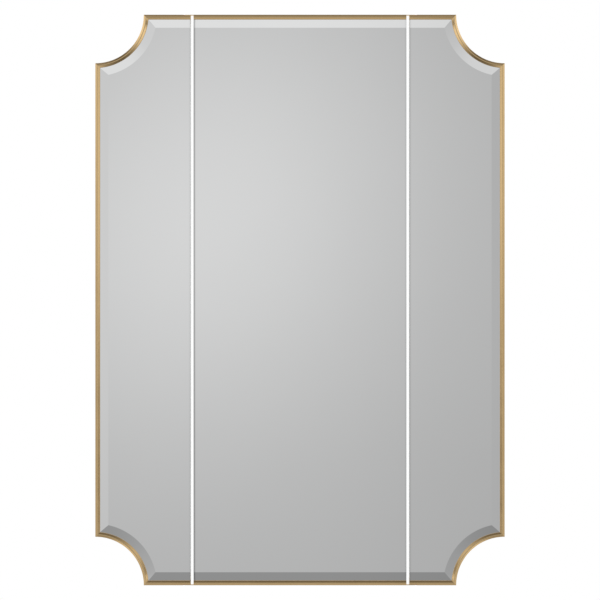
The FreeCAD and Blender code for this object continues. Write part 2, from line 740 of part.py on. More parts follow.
def make_centre():
    """The centre panel with its hangers and the pivots' fixed halves."""
    for end in ENDS:
        make_centre_rail(end)
        for name, side in SIDES.items():
            make_centre_block(name, side, end)
            make_plate(name, side, end)
            make_pin(name, side, end)
    board = make_sheets("centre", centre_corners(), [
        (side, "centre_half", "centre_block_length", -1) for side in SIDES.values()])
    hanger_holes(board)
    outer = "centre_half - tape_inset - tape_width / 2"
    strips = [(times(sign, place), "tape_inset")
              for sign in SIDES.values() for place in ("(%s)" % outer, "(%s) / 3" % outer)]
    make_tape("centre", strips)
    block_places = [centre_block_place(side, end) for end in ENDS for side in SIDES.values()]
    rear_screws("centre_screws", block_places, "frame_depth", "frame_screw_length")
    make_plate_screws()
    for name, side in SIDES.items():
        make_hanger(name, side)
    hanger_places = [place for side in SIDES.values() for place in hanger_screw_places(side)]
    rear_screws("hanger_screws", hanger_places, "(flange_front + hanger_thick)", "hanger_screw_length")
    heights = ("bumper_inset", "height - bumper_inset")
    make_bumpers("centre_bumpers", [
        (times(sign, "centre_half - bumper_inset"), z) for sign in SIDES.values() for z in heights])


def check_and_write():
    """Stop on any failed object or bad solid, then write one STEP file for each node."""
    DOC.recompute()
    for item in DOC.Objects:
        if "Invalid" in item.State or "Error" in item.State:
            raise RuntimeError("%s failed: %s" % (item.Label, item.State))
    for node in NODES:
        if node.Shape.isNull() or not node.Shape.isValid() or not node.Shape.Solids:
            raise RuntimeError("%s has no valid solid" % node.Label)
    os.makedirs("parts", exist_ok=True)
    for node in NODES:
        node.Shape.exportStep("parts/%s.step" % node.Label)


make_centre()
for wing_name, wing_side in SIDES.items():
    make_wing(wing_name, wing_side)
check_and_write()
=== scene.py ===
"""Trifold vanity mirror: bevelled glass, a slim gold frame with hollow corners, two folding wings.

Lengths are in metres. In a panel, u runs inward from the outer edge of the frame and p runs back
from the frame's front. +X is right, +Y is towards the wall and +Z is up.
"""
import json
import math

import bmesh
import bpy
import numpy as np
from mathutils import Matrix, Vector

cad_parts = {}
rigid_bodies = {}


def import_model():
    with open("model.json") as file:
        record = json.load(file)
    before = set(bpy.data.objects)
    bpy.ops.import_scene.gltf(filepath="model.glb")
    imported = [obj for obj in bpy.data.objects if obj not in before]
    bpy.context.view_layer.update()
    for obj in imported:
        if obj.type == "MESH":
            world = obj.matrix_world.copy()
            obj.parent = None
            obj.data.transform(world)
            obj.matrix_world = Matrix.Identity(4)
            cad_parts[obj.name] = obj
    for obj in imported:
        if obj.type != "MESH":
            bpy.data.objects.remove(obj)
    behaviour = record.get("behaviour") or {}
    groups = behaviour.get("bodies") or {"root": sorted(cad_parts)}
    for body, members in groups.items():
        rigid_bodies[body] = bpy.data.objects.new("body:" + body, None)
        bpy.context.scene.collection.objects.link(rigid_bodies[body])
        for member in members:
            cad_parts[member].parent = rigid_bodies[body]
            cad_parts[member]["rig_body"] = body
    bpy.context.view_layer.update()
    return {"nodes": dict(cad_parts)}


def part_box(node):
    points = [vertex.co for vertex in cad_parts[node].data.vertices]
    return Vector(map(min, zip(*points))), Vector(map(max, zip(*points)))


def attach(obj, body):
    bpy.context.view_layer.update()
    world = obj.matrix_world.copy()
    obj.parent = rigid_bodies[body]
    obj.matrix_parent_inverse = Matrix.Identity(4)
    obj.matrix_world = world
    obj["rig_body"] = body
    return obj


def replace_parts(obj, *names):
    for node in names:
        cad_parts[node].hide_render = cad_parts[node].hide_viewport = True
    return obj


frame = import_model()

bl_info = {
    "name": "Trifold vanity mirror",
    "version": (1, 0, 0),
    "blender": (4, 5, 0),
    "location": "3D View > Sidebar > Mirror",
    "description": "Dresses a wall-hung trifold mirror with bevelled glass and a gold frame",
    "category": "Object",
}

# ---------------------------------------------------------------- places read from the frame
SIDES = {"left": -1.0, "right": 1.0}
ENDS = {"bottom": -1.0, "top": 1.0}
PANELS = ("centre", "left_wing", "right_wing")


def reach(node, axis, high=True):
    """The highest or lowest coordinate of a node on an axis."""
    low_corner, high_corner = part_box(node)
    return float((high_corner if high else low_corner)[axis])


HEIGHT = reach("centre_top_rail", 2)
# the depth is centred on the origin, from the frame's front to the face of the bumpers
REAR = reach("centre_bumpers", 1)
FRONT = -REAR
HALF_WIDTH = reach("right_wing_stile", 0)
FRAME_BACK = reach("centre_top_rail", 1)
CENTRE_HALF = reach("centre_mirror_glass", 0)
WING_EDGE = reach("right_wing_mirror_glass", 0, False)
SCALLOP_RADIUS = reach("right_wing_stile", 2, False)
FLANGE_WIDTH = HALF_WIDTH - reach("right_wing_stile", 0, False)
SHEET_INSET = HALF_WIDTH - reach("right_wing_mirror_glass", 0)
GLASS_FRONT = reach("centre_mirror_glass", 1, False)
GLASS_BACK = reach("centre_mirror_glass", 1)
BOARD_FRONT = reach("centre_backing_board", 1, False)
BOARD_BACK = reach("centre_backing_board", 1)
PIN = "right_top_pivot_pin"
PIVOT_X, PIVOT_Y = [(reach(PIN, axis) + reach(PIN, axis, False)) / 2 for axis in (0, 1)]
PIN_LENGTH = HEIGHT - reach(PIN, 2, False)
PIN_RADIUS = reach(PIN, 0) - PIVOT_X

# ---------------------------------------------------------------- fineness of the surfaces
ARC_STEPS = 72
CORNER_STEPS = 7
BEVEL_STEPS = 6
TURN_STEPS = 48
HEAD_STEPS = 40
CROWN_STEPS = 14
FLOOR_RINGS = 12
FLOOR_STEPS = 96

# edges that turn more than this are shaded as edges: on new pieces, on panes and on eased nodes,
# where the first is also the turn from which an edge is eased
SHARP = math.radians(30.0)
PANE_SHARP = math.radians(4.0)
EASED_SHARP = math.radians(25.0)

# the turn of the first screw or bumper of a group, and from each one to the next
FIRST_TURN = 0.6
GOLDEN_TURN = 2.399963


# ---------------------------------------------------------------- what a user would change
def length(name, text, default):
    """A length property in metres."""
    return bpy.props.FloatProperty(
        name=name, description=text, default=default, unit="LENGTH", precision=5)


def share(name, text, default):
    """A property from 0 to 1."""
    return bpy.props.FloatProperty(
        name=name, description=text, default=default, min=0.0, max=1.0, subtype="FACTOR")


def colour(name, text, default):
    """A linear colour property."""
    return bpy.props.FloatVectorProperty(
        name=name, description=text, default=default, size=3, min=0.0, max=1.0, subtype="COLOR")


class FrameSettings(bpy.types.PropertyGroup):
    """The rolled metal section and its finish."""
    face_width: length("Face width", "Width of the frame seen from the front", 0.008)
    wall: length("Wall", "Thickness of the outer wall", 0.0012)
    flange: length("Flange", "Thickness of the rear flange", 0.0015)
    lip_back: length("Lip back", "Depth of the back of the front lip", 0.0036)
    ridge_radius: length("Ridge radius", "Radius of the rounded ridge", 0.0015)
    flank_angle: bpy.props.FloatProperty(
        name="Flank angle", description="Slope of the two flanks", default=math.radians(35.4),
        subtype="ANGLE")
    edge_radius: length("Edge radius", "Radius of the eased edges", 0.00025)
    joint: length("Joint", "Hairline left at a mitre", 0.00003)
    gold: colour("Gold", "Colour of the plating", (0.80, 0.555, 0.27))
    worn_gold: colour("Worn gold", "Colour along the polished ridge", (0.85, 0.62, 0.34))
    roughness: share("Roughness", "Roughness of the satin plating", 0.15)


class GlassSettings(bpy.types.PropertyGroup):
    """The bevelled mirror glass."""
    bevel_width: length("Bevel width", "Width of the ground bevel", 0.021)
    bevel_drop: length("Bevel drop", "How far the bevel falls back at the rim", 0.0025)
    arris: length("Arris", "Width of the eased edge", 0.0004)
    notch_rise: length("Notch rise", "Height of the notches round the end blocks", 0.0078)
    wing_notch: length("Wing notch", "Length of a wing's notches", 0.0305)
    centre_notch: length("Centre notch", "Length of the centre's notches", 0.0625)
    notch_taper: length("Notch taper", "Run of a notch's slanting end", 0.0005)
    # the edge line's width also sets the band of painted shade along the gaps
    edge_line: length("Edge line", "Width of the dull line where the silver stops", 0.0040)
    silver: colour("Silver", "Reflectance of the silvering", (0.90, 0.905, 0.905))
    glass_edge: colour("Glass edge", "Colour of the polished edge", (0.40, 0.50, 0.46))
    back_paint: colour("Back paint", "Colour of the paint behind the silver", (0.22, 0.24, 0.24))


class BackSettings(bpy.types.PropertyGroup):
    """The backing boards, tape and bumpers."""
    paper: colour("Paper", "Colour of the back's melamine paper", (0.040, 0.039, 0.038))
    edging: colour("Edging", "Colour of the band on the board's cut edges", (0.80, 0.79, 0.77))
    paper_thick: length("Paper thickness", "Thickness of the melamine paper", 0.00015)
    foam: colour("Foam", "Colour of the mounting tape", (0.80, 0.80, 0.77))
    rubber: colour("Rubber", "Colour of the bumpers", (0.030, 0.030, 0.031))
    bumper_diameter: length("Bumper diameter", "Diameter of a bumper", 0.012)
    bumper_taper: length("Bumper taper", "How much slimmer a bumper is at its face", 0.0005)
    dimple: length("Dimple", "Depth of the hollow in a bumper's face", 0.0006)


class HardwareSettings(bpy.types.PropertyGroup):
    """Screws, pins, plates, blocks and hangers."""
    shank_radius: length("Shank radius", "Radius of a rear screw's shank", 0.00145)
    head_radius: length("Head radius", "Radius of a rear screw's head", 0.0027)
    head_height: length("Head height", "Height of a rear screw's head", 0.0015)
    recess_arm: length("Recess arm", "Reach of a cross recess in a rear screw", 0.00165)
    recess_width: length("Recess width", "Width of a cross recess's arms", 0.0007)
    recess_depth: length("Recess depth", "Depth of a cross recess", 0.0010)
    plate_shank: length("Plate screw shank", "Radius of a plate screw's shank", 0.00125)
    plate_head: length("Plate screw head", "Radius of a plate screw's head", 0.0022)
    plate_land: length("Plate screw land", "Height of the straight rim of its head", 0.00015)
    stile_screw_margin: length("Stile screw margin", "From a stile's end to its first screw", 0.110)
    screw_inset: length("Screw inset", "From the outer edge to the frame screws", 0.007)
    short_shank: length("Short shank", "Length of a frame screw's modelled shank", 0.0012)
    soft_edge: length("Soft edge", "Easing of the edges of plates, blocks and hangers", 0.00012)
    zinc: colour("Zinc", "Colour of the zinc plating", (0.60, 0.61, 0.60))
    anodised: colour("Anodised", "Colour of the end blocks", (0.60, 0.50, 0.34))
    acetal: colour("Acetal", "Colour of the bushes", (0.82, 0.80, 0.74))


class StageSettings(bpy.types.PropertyGroup):
    """The studio: camera, light and floor."""
    camera_distance: length("Camera distance", "From the camera to the middle of the mirror", 5.0)
    view_width: length("View width", "Width of the picture at the front of the frame", 1.0416)
    floor_drop: length("Floor drop", "How far the floor lies below the mirror", 0.8)
    floor_radius: length("Floor radius", "Radius of the floor", 3.0)
    floor_colour: colour("Floor colour", "Colour of the floor", (0.88, 0.88, 0.87))
    ambient: share("Ambient", "Level of the light from all round", 0.7)


SETTINGS = {
    "mirror_frame": FrameSettings, "mirror_glass": GlassSettings, "mirror_back": BackSettings,
    "mirror_hardware": HardwareSettings, "mirror_stage": StageSettings,
}


# ---------------------------------------------------------------- shader arithmetic
WHITE = (1.0, 1.0, 1.0, 1.0)


def arithmetic(operation, swapped=False):
    """A method that adds a Math node on a value and a number, or on the number and the value."""
    def method(value, other):
        pair = (other, value) if swapped else (value, other)
        return value.shader.math(operation, *pair)
    return method


class Value:
    """A number that varies over a surface. Arithmetic on it adds Math nodes."""

    def __init__(self, shader, socket):
        self.shader = shader
        self.socket = socket

    __add__, __radd__ = arithmetic("ADD"), arithmetic("ADD", swapped=True)
    __sub__, __rsub__ = arithmetic("SUBTRACT"), arithmetic("SUBTRACT", swapped=True)
    __mul__, __rmul__ = arithmetic("MULTIPLY"), arithmetic("MULTIPLY", swapped=True)
    __truediv__ = arithmetic("DIVIDE")

    def __abs__(self):
        return self.shader.math("ABSOLUTE", self)


class Shader:
    """Makes the nodes of one node tree."""

    def __init__(self, tree):
        self.tree = tree
        tree.nodes.clear()

    def node(self, kind, settings, sockets, out=0):
        """Add a node of a type, give it its settings, then the values or links of its sockets."""
        node = self.tree.nodes.new(kind)
        for name, value in settings.items():
            if name == "stops":
                self.set_stops(node.color_ramp, value)
            else:
                setattr(node, name, value)
        for key, value in sockets.items():
            if isinstance(value, Value):
                self.tree.links.new(value.socket, node.inputs[key])
            else:
                node.inputs[key].default_value = value
        return Value(self, node.outputs[out]) if len(node.outputs) else node

    def set_stops(self, ramp, stops):
        """Give a ramp its grey stops, as (place, level) pairs."""
        while len(ramp.elements) < len(stops):
            ramp.elements.new(1.0)
        for element, (place, level) in zip(ramp.elements, stops):
            element.position = place
            element.color = (level, level, level, 1.0)

    def math(self, operation, *values):
        """One Math node."""
        return self.node("ShaderNodeMath", {"operation": operation}, dict(enumerate(values)))

    def step(self, value, low, high):
        """A smooth step from 0 at low to 1 at high."""
        sockets = {"Value": value, "From Min": low, "From Max": high}
        return self.node("ShaderNodeMapRange", {"interpolation_type": "SMOOTHSTEP"}, sockets)

    def hump(self, value, middle, width):
        """A bell curve: e to the power of minus the square of the distance in widths."""
        away = (value - middle) / width
        return self.math("POWER", math.e, 0.0 - away * away)

    def mix(self, factor, first, second):
        """A colour between two colours."""
        sockets = {0: factor, 6: self.whole(first), 7: self.whole(second)}
        return self.node("ShaderNodeMix", {"data_type": "RGBA"}, sockets, 2)

    def tint(self, base, amount):
        """A colour made lighter or darker by a factor that varies."""
        grey = self.node("ShaderNodeCombineColor", {}, {0: amount, 1: amount, 2: amount})
        settings = {"data_type": "RGBA", "blend_type": "MULTIPLY"}
        return self.node("ShaderNodeMix", settings, {0: 1.0, 6: self.whole(base), 7: grey}, 2)

    def whole(self, base):
        """A colour with its fourth part, which is 1. A colour that varies has it already."""
        return base if isinstance(base, Value) else (*base, 1.0)

    def place(self, stretch=(1.0, 1.0, 1.0)):
        """The point on the piece, in metres at rest, stretched along each axis."""
        point = self.node("ShaderNodeTexCoord", {}, {}, "Object")
        return self.node("ShaderNodeMapping", {}, {"Vector": point, "Scale": stretch})

    def grain(self, stretch):
        """The point along and across a length of metal, stretched along each axis."""
        point = self.node("ShaderNodeAttribute", {"attribute_name": "grain"}, {}, "Vector")
        return self.node("ShaderNodeMapping", {}, {"Vector": point, "Scale": stretch})

    def stored(self, name):
        """A number stored on the piece's points."""
        return self.node("ShaderNodeAttribute", {"attribute_name": name}, {}, "Fac")

    def axis(self, vector, index):
        """One coordinate of a vector."""
        return self.node("ShaderNodeSeparateXYZ", {}, {0: vector}, index)

    def noise(self, vector, scale, detail):
        """Cloudy noise about one half, at a point."""
        sockets = {"Vector": vector, "Scale": scale, "Detail": detail}
        return self.node("ShaderNodeTexNoise", {}, sockets)

    def clouds(self, scale, detail):
        """Noise that is even all ways, its scale in waves a metre."""
        return self.noise(self.place(), scale, detail)

    def streaks(self, scales, detail):
        """Noise with a scale of its own along each axis."""
        return self.noise(self.place(scales), 1.0, detail)

    def surface(self, base, roughness, lightness=None, metal=0.0, coat=0.0, relief=None, depth=0.0,
                strength=0.0):
        """A surface of a colour, made lighter or darker where asked, with a relief in metres."""
        colour = base if lightness is None else self.tint(base, lightness)
        sockets = {"Base Color": colour, "Roughness": roughness, "Metallic": metal, "Coat Weight": coat}
        if relief is not None:
            bent = {"Height": relief, "Distance": depth, "Strength": strength}
            sockets["Normal"] = self.node("ShaderNodeBump", {}, bent)
        return self.node("ShaderNodeBsdfPrincipled", {}, sockets)

    def blend(self, factor, first, second):
        """A shader between two shaders."""
        return self.node("ShaderNodeMixShader", {}, {0: factor, 1: first, 2: second})

    def ray(self, kind):
        """1 on the rays of a kind, 0 on the rest."""
        return self.node("ShaderNodeLightPath", {}, {}, kind)


# ---------------------------------------------------------------- finishes
# the upright edges of the silver along the gaps, and how much darker the glass is there: a dull silver line
# and painted shade
DULL_EDGES_AND_PAINTED_SHADE = ((-CENTRE_HALF, 0.42), (WING_EDGE, 0.14), (CENTRE_HALF, 0.08), (-WING_EDGE, 0.08))
# the casts of zinc plating, as factors on its colour
WARM_CAST = (1.05, 1.0, 0.88)
BLUE_CAST = (0.92, 0.98, 1.06)


def satin_gold(shader, settings):
    """Plated brass, brushed along its length, a little brighter along the ridge."""
    streak = shader.noise(shader.grain((14.0, 5200.0, 1.0)), 1.0, detail=3.0)
    cloud = shader.clouds(26.0, detail=3.0)
    worn = shader.stored("worn")
    base = shader.mix(worn * (0.35 + 0.5 * cloud), settings.gold, settings.worn_gold)
    return shader.surface(
        base, lightness=0.90 + 0.12 * cloud + 0.07 * streak, metal=1.0,
        roughness=settings.roughness - 0.05 + 0.05 * streak + 0.08 * cloud - 0.03 * worn,
        relief=streak, depth=0.00001, strength=0.25)


def silvering(shader, settings):
    """Silvered float glass: clear, with a dull line where the silver stops short of a gap, deepened by
    painted shade.

    The line and its painted shade are plain along the left edge of the centre pane and faint along the other
    edges there.
    """
    x = shader.axis(shader.place(), 0)
    width = settings.edge_line
    # painted shade: the silver is darkened along each gap edge, more than a dull silver line alone would give
    dull_and_shade = 0.0
    for edge, depth in DULL_EDGES_AND_PAINTED_SHADE:
        dull_and_shade = dull_and_shade + depth * (1.0 - shader.step(abs(x - edge), low=width * 0.3, high=width))
    haze = shader.clouds(7.0, detail=4.0)
    smear = shader.step(shader.streaks((38.0, 38.0, 9.0), detail=5.0), low=0.5, high=0.75)
    return shader.surface(
        settings.silver, lightness=(0.99 + 0.02 * haze) * (1.0 - dull_and_shade), metal=1.0,
        roughness=0.008 + 0.02 * smear * haze + 0.1 * dull_and_shade)


def polished_edge(shader, settings):
    """The ground and polished edge of the glass, green in its depth."""
    stripe = shader.streaks((30.0, 2600.0, 30.0), detail=3.0)
    return shader.surface(
        settings.glass_edge, lightness=0.75 + 0.5 * stripe, roughness=0.10 + 0.10 * stripe, coat=0.6)


def mirror_paint(shader, settings):
    """The grey paint that seals the silver from behind."""
    cloud = shader.clouds(60.0, detail=4.0)
    return shader.surface(
        settings.back_paint, lightness=0.85 + 0.3 * cloud, roughness=0.45 + 0.15 * cloud)


def board_finish(shader, settings):
    """Fibreboard with black melamine paper on both faces and a pale band round its edges."""
    depth = shader.axis(shader.place(), 1)
    thick = settings.paper_thick
    front = 1.0 - shader.step(depth, BOARD_FRONT, BOARD_FRONT + thick)
    paper = shader.math("MAXIMUM", front, shader.step(depth, BOARD_BACK - thick, BOARD_BACK))
    leather = shader.clouds(1400.0, detail=3.0)
    dust = shader.streaks((5.0, 5.0, 3.0), detail=6.0)
    rub = shader.step(shader.streaks((900.0, 1.0, 12.0), detail=2.0), low=0.66, high=0.74)
    scuff = shader.streaks((700.0, 4200.0, 700.0), detail=4.0)
    worn = 0.35 * shader.step(dust, low=0.5, high=0.8) + 0.35 * rub
    black = shader.tint(settings.paper, 0.75 + 0.5 * leather + worn)
    band = shader.tint(settings.edging, 0.92 + 0.12 * scuff)
    return shader.surface(
        shader.mix(paper, band, black), roughness=0.5 + paper * (0.15 * leather + 0.12 * dust),
        relief=paper * leather + (1.0 - paper) * 0.3 * scuff, depth=0.00005, strength=0.5)


def foam_finish(shader, settings):
    """Closed-cell foam tape."""
    cells = shader.clouds(2200.0, detail=2.0)
    return shader.surface(
        settings.foam, lightness=0.85 + 0.25 * cells, roughness=0.9,
        relief=cells, depth=0.0001, strength=0.8)


def rubber_finish(shader, settings):
    """Matt rubber with a little bloom and dust."""
    grit = shader.clouds(3200.0, detail=2.0)
    bloom = shader.clouds(260.0, detail=3.0)
    dust = shader.step(bloom, low=0.45, high=0.8)
    return shader.surface(
        settings.rubber, lightness=0.8 + 0.3 * grit + 0.9 * dust, roughness=0.62 + 0.2 * bloom,
        relief=grit, depth=0.00003, strength=0.5)


def zinc_finish(shader, settings):
    """Bright zinc plating with a faint warm and blue cast."""
    cast = shader.clouds(90.0, detail=3.0)
    rolled = shader.streaks((40.0, 900.0, 3000.0), detail=3.0)
    warm, blue = [[c * w for c, w in zip(settings.zinc, factors)] for factors in (WARM_CAST, BLUE_CAST)]
    return shader.surface(
        shader.mix(cast, warm, blue), lightness=0.85 + 0.25 * rolled, metal=1.0,
        roughness=0.26 + 0.16 * rolled + 0.08 * cast, relief=rolled, depth=0.00002, strength=0.3)


def block_finish(shader, settings):
    """Machined aluminium, anodised gold, with milling lines."""
    mill = shader.streaks((4200.0, 60.0, 60.0), detail=2.0)
    cloud = shader.clouds(120.0, detail=3.0)
    return shader.surface(
        settings.anodised, lightness=0.85 + 0.2 * mill + 0.1 * cloud, metal=1.0,
        roughness=0.30 + 0.18 * mill, relief=mill, depth=0.00002, strength=0.4)


def acetal_finish(shader, settings):
    """Off-white acetal with faint turning lines."""
    rings = shader.streaks((200.0, 200.0, 5200.0), detail=2.0)
    return shader.surface(
        settings.acetal, lightness=0.92 + 0.12 * rings, roughness=0.36 + 0.1 * rings,
        relief=rings, depth=0.00002, strength=0.4)


def floor_finish(shader, settings):
    """A pale floor that fades into the white behind it at its rim."""
    place = shader.place()
    x, y = shader.axis(place, 0), shader.axis(place, 1)
    away = shader.math("SQRT", x * x + y * y) / settings.floor_radius
    fade = shader.step(away, low=0.35, high=0.95) * shader.ray("Is Camera Ray")
    cloud = shader.clouds(3.0, detail=3.0)
    pale = shader.surface(settings.floor_colour, lightness=0.985 + 0.03 * cloud, roughness=0.8)
    white = shader.node("ShaderNodeEmission", {}, {"Color": WHITE, "Strength": 1.0})
    return shader.blend(fade, pale, white)


# each finish's recipe, and the settings that it reads
FINISHES = {
    "satin_gold_plating": (satin_gold, "mirror_frame"),
    "silvered_glass": (silvering, "mirror_glass"),
    "polished_glass_edge": (polished_edge, "mirror_glass"),
    "mirror_back_paint": (mirror_paint, "mirror_glass"),
    "papered_fibreboard": (board_finish, "mirror_back"),
    "foam_mounting_tape": (foam_finish, "mirror_back"),
    "matt_rubber": (rubber_finish, "mirror_back"),
    "zinc_plating": (zinc_finish, "mirror_hardware"),
    "anodised_block": (block_finish, "mirror_hardware"),
    "acetal_bush": (acetal_finish, "mirror_hardware"),
    "pale_floor": (floor_finish, "mirror_stage"),
}


def finish(name):
    """The material of a name, made by its recipe the first time."""
    if name in bpy.data.materials:
        return bpy.data.materials[name]
    recipe, group = FINISHES[name]
    material = bpy.data.materials.new(name)
    material.use_nodes = True
    shader = Shader(material.node_tree)
    surface = recipe(shader, getattr(bpy.context.scene, group))
    shader.node("ShaderNodeOutputMaterial", {}, {"Surface": surface})
    return material


# ---------------------------------------------------------------- surfaces from arrays
# points nearer than this are one point, and faces that turn less than this are one face
SAME_POINT = 0.000002
SAME_PLANE = math.radians(0.4)


def grid(rows, columns, ring=False):
    """Quads of a grid, row by row. The last column joins the first one where it is a ring."""
    row, column = np.meshgrid(
        np.arange(rows - 1), np.arange(columns if ring else columns - 1), indexing="ij")
    after = (column + 1) % columns
    low, high = row * columns, (row + 1) * columns
    return np.stack([low + column, high + column, high + after, low + after], -1).reshape(-1, 4)


def store(mesh, stored):
    """Keep numbers or vectors on a mesh's points, each under its name."""
    for key, values in stored.items():
        kind, field = ("FLOAT_VECTOR", "vector") if np.ndim(values) == 2 else ("FLOAT", "value")
        attribute = mesh.attributes.new(key, kind, "POINT")
        attribute.data.foreach_set(field, np.asarray(values, np.float32).ravel())


def mounted(name, mesh, sharp, body):
    """An object of a mesh that rides on a body, smooth but for edges that turn more than sharp."""
    mesh.shade_smooth()
    mesh.set_sharp_from_angle(angle=sharp)
    thing = bpy.data.objects.new(name, mesh)
    bpy.context.scene.collection.objects.link(thing)
    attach(thing, body)
    return thing


def piece(name, points, faces, materials, body, slot, sharp=SHARP, kinds=None, stored=None, grind=None):
    """A closed piece from its points and lists of faces, facing outward, that rides on a body."""
    mesh = bpy.data.meshes.new(name)
    corners = [list(map(int, face)) for block in faces for face in block]
    mesh.from_pydata(np.reshape(points, (-1, 3)), [], corners)
    store(mesh, stored or {})
    for material in materials:
        mesh.materials.append(material)
    if kinds is not None:
        mesh.polygons.foreach_set("material_index", np.asarray(kinds, np.int32))
    shell = bmesh.new()
    shell.from_mesh(mesh)
    bmesh.ops.recalc_face_normals(shell, faces=shell.faces)
    if grind:
        grind(shell)
    shell.to_mesh(mesh)
    shell.free()
    return mounted(name, mesh, sharp, body)


def body_of(node):
    """The name of the body that a node rides on."""
    return frame["nodes"][node]["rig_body"]


def stand_in(node, ending, points, faces, materials, slot, **details):
    """A piece in a node's place and on its body, named after it with an ending."""
    made = piece(node + ending, points, faces, materials, body_of(node), slot, **details)
    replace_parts(made, node)
    return made


def softened(node, name, material, settings, stored=None):
    """A copy of a node with its coincident points merged and its edges eased, in the node's place.

    stored gives a rule for each number or vector to keep, which works it out from the points.
    """
    mesh = frame["nodes"][node].data.copy()
    mesh.name = name
    shell = bmesh.new()
    shell.from_mesh(mesh)
    bmesh.ops.remove_doubles(shell, verts=shell.verts, dist=SAME_POINT)
    bmesh.ops.dissolve_limit(shell, angle_limit=SAME_PLANE, verts=shell.verts, edges=shell.edges)
    shell.to_mesh(mesh)
    shell.free()
    for key in ("custom_normal", "sharp_face", "sharp_edge"):
        if key in mesh.attributes:
            mesh.attributes.remove(mesh.attributes[key])
    mesh.materials.clear()
    mesh.materials.append(material)
    points = np.empty(len(mesh.vertices) * 3, np.float32)
    mesh.vertices.foreach_get("co", points)
    points = points.reshape(-1, 3)
    store(mesh, {key: rule(points) for key, rule in (stored or {}).items()})
    made = mounted(name, mesh, EASED_SHARP, body_of(node))
    modifier = made.modifiers.new("eased", "BEVEL")
    modifier.width = settings.soft_edge
    modifier.segments = 2
    modifier.limit_method = "ANGLE"
    modifier.angle_limit = SHARP
    modifier.harden_normals = True
    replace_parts(made, node)


def coat(node, material):
    """Give a node its material. Its shape stays as it is."""
    frame["nodes"][node].material_slots[0].material = material


def eased(corners, radii, steps):
    """A closed section with each corner turned into an arc.

    An arc touches its two sides at the radius divided by the tangent of half the corner's angle.
    Its points swing evenly about its centre between the two touching directions.
    """
    corners = np.array(corners)
    radii = np.array(radii)[:, None]
    back = np.roll(corners, 1, 0) - corners
    ahead = np.roll(corners, -1, 0) - corners
    back /= np.linalg.norm(back, axis=1, keepdims=True)
    ahead /= np.linalg.norm(ahead, axis=1, keepdims=True)
    half = np.arccos(np.clip((back * ahead).sum(1, keepdims=True), -1, 1)) / 2
    middle = (back + ahead) / np.linalg.norm(back + ahead, axis=1, keepdims=True)
    centre = corners + middle * radii / np.sin(half)
    first = corners + back * radii / np.tan(half) - centre
    last = corners + ahead * radii / np.tan(half) - centre
    swing = (math.pi - 2 * half)[:, :, None]
    part = np.linspace(0, 1, steps)[None, :, None]
    arc = (np.sin((1 - part) * swing) * first[:, None] + np.sin(part * swing) * last[:, None]) / np.sin(swing)
    return (centre[:, None] + arc).reshape(-1, 2)


def turned(radius, height, angle):
    """Rings about the z axis. The first row and the last one are points on the axis.

    radius and height have a row for each ring, and a column for each angle or one for all of them.
    A point at angle a is (radius times cos a, radius times sin a, height).
    """
    x, y, z = np.broadcast_arrays(radius * np.cos(angle), radius * np.sin(angle), height)
    rings = np.stack([x, y, z], -1)[1:-1]
    ends = [[0, 0, z[0, 0]], [0, 0, z[-1, 0]]]
    count, steps = rings.shape[:2]
    here = np.arange(steps)
    after = (here + 1) % steps
    top = np.stack([here, after, here * 0 + count * steps], -1)
    bottom = np.stack([after, here, here * 0 + steps + 1], -1) + (count - 1) * steps
    return np.concatenate([rings.reshape(-1, 3), ends]), [grid(count, steps, ring=True), top, bottom]


def turned_profile(profile):
    """A profile of (radius, height) turned in even steps, from one point on the axis to another."""
    profile = np.array(profile)
    return turned(profile[:, :1], profile[:, 1:], np.linspace(0, 2 * math.pi, TURN_STEPS, endpoint=False))


def scattered(points, faces, places, lie):
    """Copies of one piece at several places, each turned on by the golden angle.

    lie gives the directions of the piece's own x, y and z axes as rows.
    """
    places = np.array(places, float)
    turn = np.arange(len(places)) * GOLDEN_TURN + FIRST_TURN
    cos, sin = np.cos(turn)[:, None], np.sin(turn)[:, None]
    x = points[:, 0] * cos - points[:, 1] * sin
    y = points[:, 0] * sin + points[:, 1] * cos
    z = points[:, 2] + 0 * x
    laid = np.stack([x, y, z], -1) @ np.array(lie, float) + places[:, None]
    shift = np.arange(len(places))[:, None, None] * len(points)
    return laid.reshape(-1, 3), [(block[None] + shift).reshape(-1, block.shape[1]) for block in faces]


# ---------------------------------------------------------------- frame
WEAR_DEPTH = 0.0010


def frame_section(settings):
    """The frame's section as (u, p): two flanks with a rounded ridge, a wall and a rear flange."""
    face = settings.face_width
    apex = settings.ridge_radius * (1 - 1 / math.cos(settings.flank_angle))
    rise = apex + face / 2 * math.tan(settings.flank_angle)
    depth = FRAME_BACK - FRONT
    corners = [
        (0, rise), (face / 2, apex), (face, rise), (face, settings.lip_back),
        (settings.wall, settings.lip_back), (settings.wall, depth - settings.flange),
        (FLANGE_WIDTH, depth - settings.flange), (FLANGE_WIDTH, depth), (0, depth),
    ]
    radii = [settings.edge_radius] * len(corners)
    radii[1] = settings.ridge_radius
    return eased(corners, radii, CORNER_STEPS)


def mitre_slope(settings):
    """How far a mitre moves along the rail for each step inward.

    The inner edges of a rail and a scallop meet where the circle of the scallop's inner edge
    crosses the line of the rail's inner edge.
    """
    inner = SCALLOP_RADIUS + settings.face_width
    run = math.sqrt(inner ** 2 - settings.face_width ** 2) - SCALLOP_RADIUS
    return run / settings.face_width


def set_down(a, b, p, side, end):
    """Points from the distances a and b in from a wing's outer side and end, and the depth p."""
    x = side * (HALF_WIDTH - a)
    z = HEIGHT - b if end > 0 else b
    return np.stack(np.broadcast_arrays(x, FRONT + p, z), -1)


